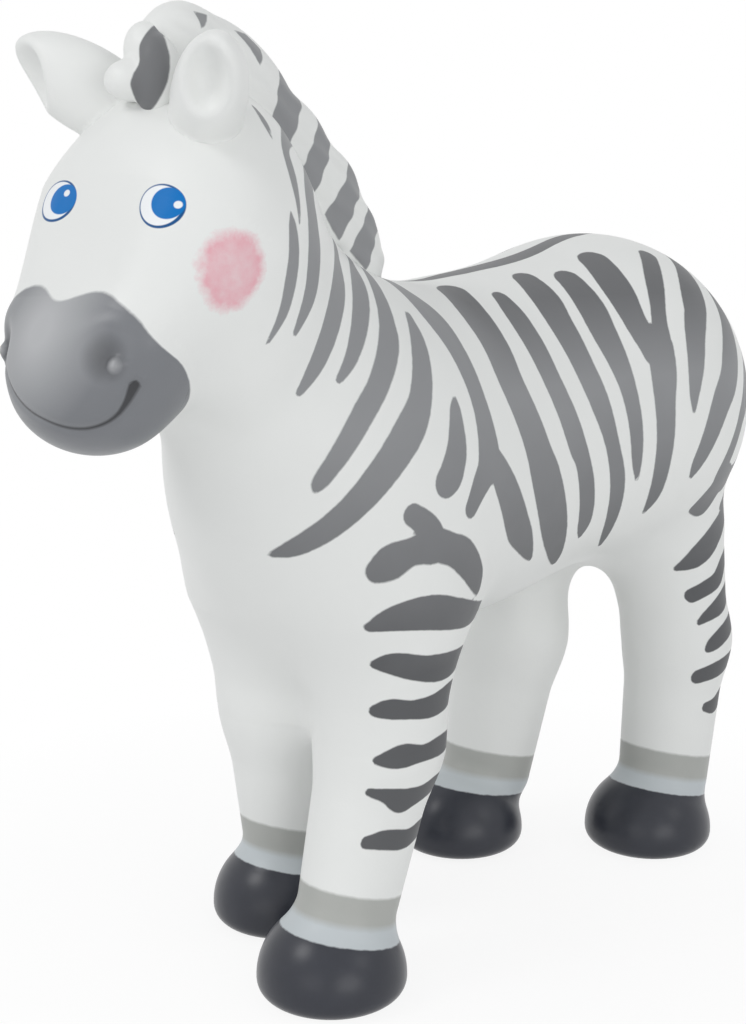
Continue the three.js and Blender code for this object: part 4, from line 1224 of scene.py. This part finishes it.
def shape_along_path(piece, tail, material):
    """Nodes that sweep a grooved, twisted round section along the piece's path."""
    tree = bpy.data.node_groups.new("Corded tail", "GeometryNodeTree")
    sockets = {}
    tree.interface.new_socket("Geometry", in_out="INPUT", socket_type="NodeSocketGeometry")
    for name, kind in (("Strands", "NodeSocketInt"), ("Groove", "NodeSocketFloat"),
                       ("Twist", "NodeSocketFloat"), ("Spacing", "NodeSocketFloat")):
        sockets[name] = tree.interface.new_socket(name, in_out="INPUT", socket_type=kind).identifier
    tree.interface.new_socket("Geometry", in_out="OUTPUT", socket_type="NodeSocketGeometry")

    bench = Wire(tree)
    given = bench.make("NodeGroupInput")
    thickness = bench.make("GeometryNodeInputNamedAttribute", {"Name": "thickness"})
    path = bench.make("GeometryNodeMeshToCurve", {"Mesh": given})
    path = bench.make("GeometryNodeSetCurveRadius", {"Curve": path, "Radius": thickness})
    path = bench.make("GeometryNodeResampleCurve",
                      {"Curve": path, "Length": given.output("Spacing")}, mode="LENGTH")
    turn = bench.make("GeometryNodeSplineParameter") * given.output("Twist")
    path = bench.make("GeometryNodeSetCurveTilt", {"Curve": path, "Tilt": turn})

    groove = given.output("Groove")
    wave = bench.make("GeometryNodeSplineParameter") * given.output("Strands") * math.pi
    lobe = abs(wave.maths("SINE", wave))
    less = lobe.maths("MULTIPLY_ADD", lobe, groove, 1.0) - groove
    position = bench.make("GeometryNodeInputPosition")
    scaled = bench.make("ShaderNodeVectorMath", {0: position, "Scale": less}, operation="SCALE")
    section = bench.make("GeometryNodeCurvePrimitiveCircle",
                         {"Resolution": TAIL_SIDES, "Radius": 1.0}, mode="RADIUS")
    section = bench.make("GeometryNodeSetPosition", {"Geometry": section, "Position": scaled})

    swept = bench.make("GeometryNodeCurveToMesh", {
        "Curve": path, "Profile Curve": section, "Fill Caps": True,
        "Scale": bench.make("GeometryNodeInputRadius")})
    whole = bench.make("GeometryNodeRealizeInstances", {"Geometry": swept})
    smooth = bench.make("GeometryNodeSetShadeSmooth", {"Geometry": whole})
    finish = bench.make("GeometryNodeSetMaterial", {"Geometry": smooth, "Material": material})
    bench.make("NodeGroupOutput", {"Geometry": finish})

    modifier = piece.modifiers.new("Corded tail", "NODES")
    modifier.node_group = tree
    for name, identifier in sockets.items():
        modifier[identifier] = getattr(tail, name.lower())


def looked_at(bench):
    """1 for what the camera sees, straight or by way of a gloss, else 0."""
    path = bench.make("ShaderNodeLightPath")
    return path.larger(path.output("Is Glossy Ray")).larger(path.output("Is Transmission Ray"))


def floor_material(stage):
    """Pale paper near the object, that turns into plain white for the eye further out."""
    material = bpy.data.materials.new("Pale floor")
    bench = bare_bench(material)
    here = bench.make("ShaderNodeTexCoord", output="Object")
    far = bench.make("ShaderNodeVectorMath", {0: here}, "Value", operation="LENGTH")
    paper = bench.make("ShaderNodeTexNoise", {"Vector": here, "Scale": PAPER_SCALE})
    tone = paper.between(stage.floor, [c * PAPER_SHADE for c in stage.floor])
    matt = bench.make("ShaderNodeBsdfDiffuse", {"Color": tone})
    white = bench.make("ShaderNodeEmission", {"Color": (1, 1, 1, 1), "Strength": 1.0})
    fade = (0.85 + far * 1.6).clamped()
    shader = bench.make("ShaderNodeMixShader", {0: looked_at(bench) * fade, 1: matt, 2: white})
    bench.make("ShaderNodeOutputMaterial", {"Surface": shader})
    return material


def make_sky(scene, strength):
    """An even light from all round, which the camera sees as plain white."""
    scene.world = bpy.data.worlds.new("Studio")
    bench = bare_bench(scene.world)
    even = bench.make("ShaderNodeBackground", {"Color": SKY_TINT, "Strength": strength})
    white = bench.make("ShaderNodeBackground", {"Color": (1, 1, 1, 1), "Strength": 1.0})
    shader = bench.make("ShaderNodeMixShader", {0: looked_at(bench), 1: even, 2: white})
    bench.make("ShaderNodeOutputWorld", {"Surface": shader})


class MakeStage(bpy.types.Operator):
    """Makes the floor, the lamps and the camera"""

    bl_idname = "zebra.make_stage"
    bl_label = "Stage"

    def execute(self, context):
        scene = context.scene
        stage = scene.zebra_stage

        mesh = bpy.data.meshes.new("floor")
        corners = ((-1, -1), (1, -1), (1, 1), (-1, 1))
        mesh.from_pydata([(x * FLOOR_HALF, y * FLOOR_HALF, 0) for x, y in corners], [],
                         [(0, 1, 2, 3)])
        mesh.materials.append(floor_material(stage))
        floor = new_object("floor", mesh)
        floor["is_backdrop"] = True

        for name, setting, share, place, size in LAMPS:
            light = bpy.data.lights.new(name, "AREA")
            light.shape = "DISK"
            light.size = size
            light.energy = share * getattr(stage, setting)
            lamp = new_object(name, light)
            lamp.location = place
            aim = Vector(place) - Vector(LAMP_AIM)
            lamp.rotation_euler = aim.to_track_quat("Z", "Y").to_euler()
        make_sky(scene, stage.sky)

        lens = bpy.data.cameras.new("camera")
        lens.lens = stage.lens
        lens.sensor_width = 36
        lens.clip_start = 0.01
        camera = new_object("camera", lens)
        camera.location = stage.camera_place
        camera.rotation_euler = (math.pi / 2 - stage.pitch, 0, stage.turn)
        scene.camera = camera
        scene.view_settings.view_transform = "Standard"
        return {"FINISHED"}


class ZebraPanel(bpy.types.Panel):
    """Lists the settings and the steps that make the zebra"""

    bl_idname = "VIEW3D_PT_toy_zebra"
    bl_label = "Toy Zebra"
    bl_space_type = "VIEW_3D"
    bl_region_type = "UI"
    bl_category = "Zebra"

    def draw(self, context):
        for key in GROUPS:
            group = getattr(context.scene, key)
            box = self.layout.box()
            for name in group.__annotations__:
                box.prop(group, name)
        for operator in OPERATORS:
            self.layout.operator(operator.bl_idname)


OPERATORS = (MakeSkin, MakeEars, MakeMane, MakeForelock, MakeTail, MakeStage)
GROUPS = {"zebra_form": ZebraForm, "zebra_tail": ZebraTail, "zebra_paint": ZebraPaint,
          "zebra_stage": ZebraStage}
CLASSES = (*GROUPS.values(), *OPERATORS, ZebraPanel)


def register():
    for one in CLASSES:
        bpy.utils.register_class(one)
    for key, group in GROUPS.items():
        setattr(bpy.types.Scene, key, bpy.props.PointerProperty(type=group))


def unregister():
    for key in GROUPS:
        delattr(bpy.types.Scene, key)
    for one in reversed(CLASSES):
        bpy.utils.unregister_class(one)


def main():
    register()
    bpy.ops.zebra.make_skin()
    bpy.ops.zebra.make_ears()
    bpy.ops.zebra.make_mane()
    bpy.ops.zebra.make_forelock()
    bpy.ops.zebra.make_tail()
    bpy.ops.zebra.make_stage()
    boxes = {"cad": CAD_BOX, "visual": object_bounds()}
    sizes = {name: [list(corner) for corner in box] for name, box in boxes.items()}


if __name__ == "__main__":
    main()
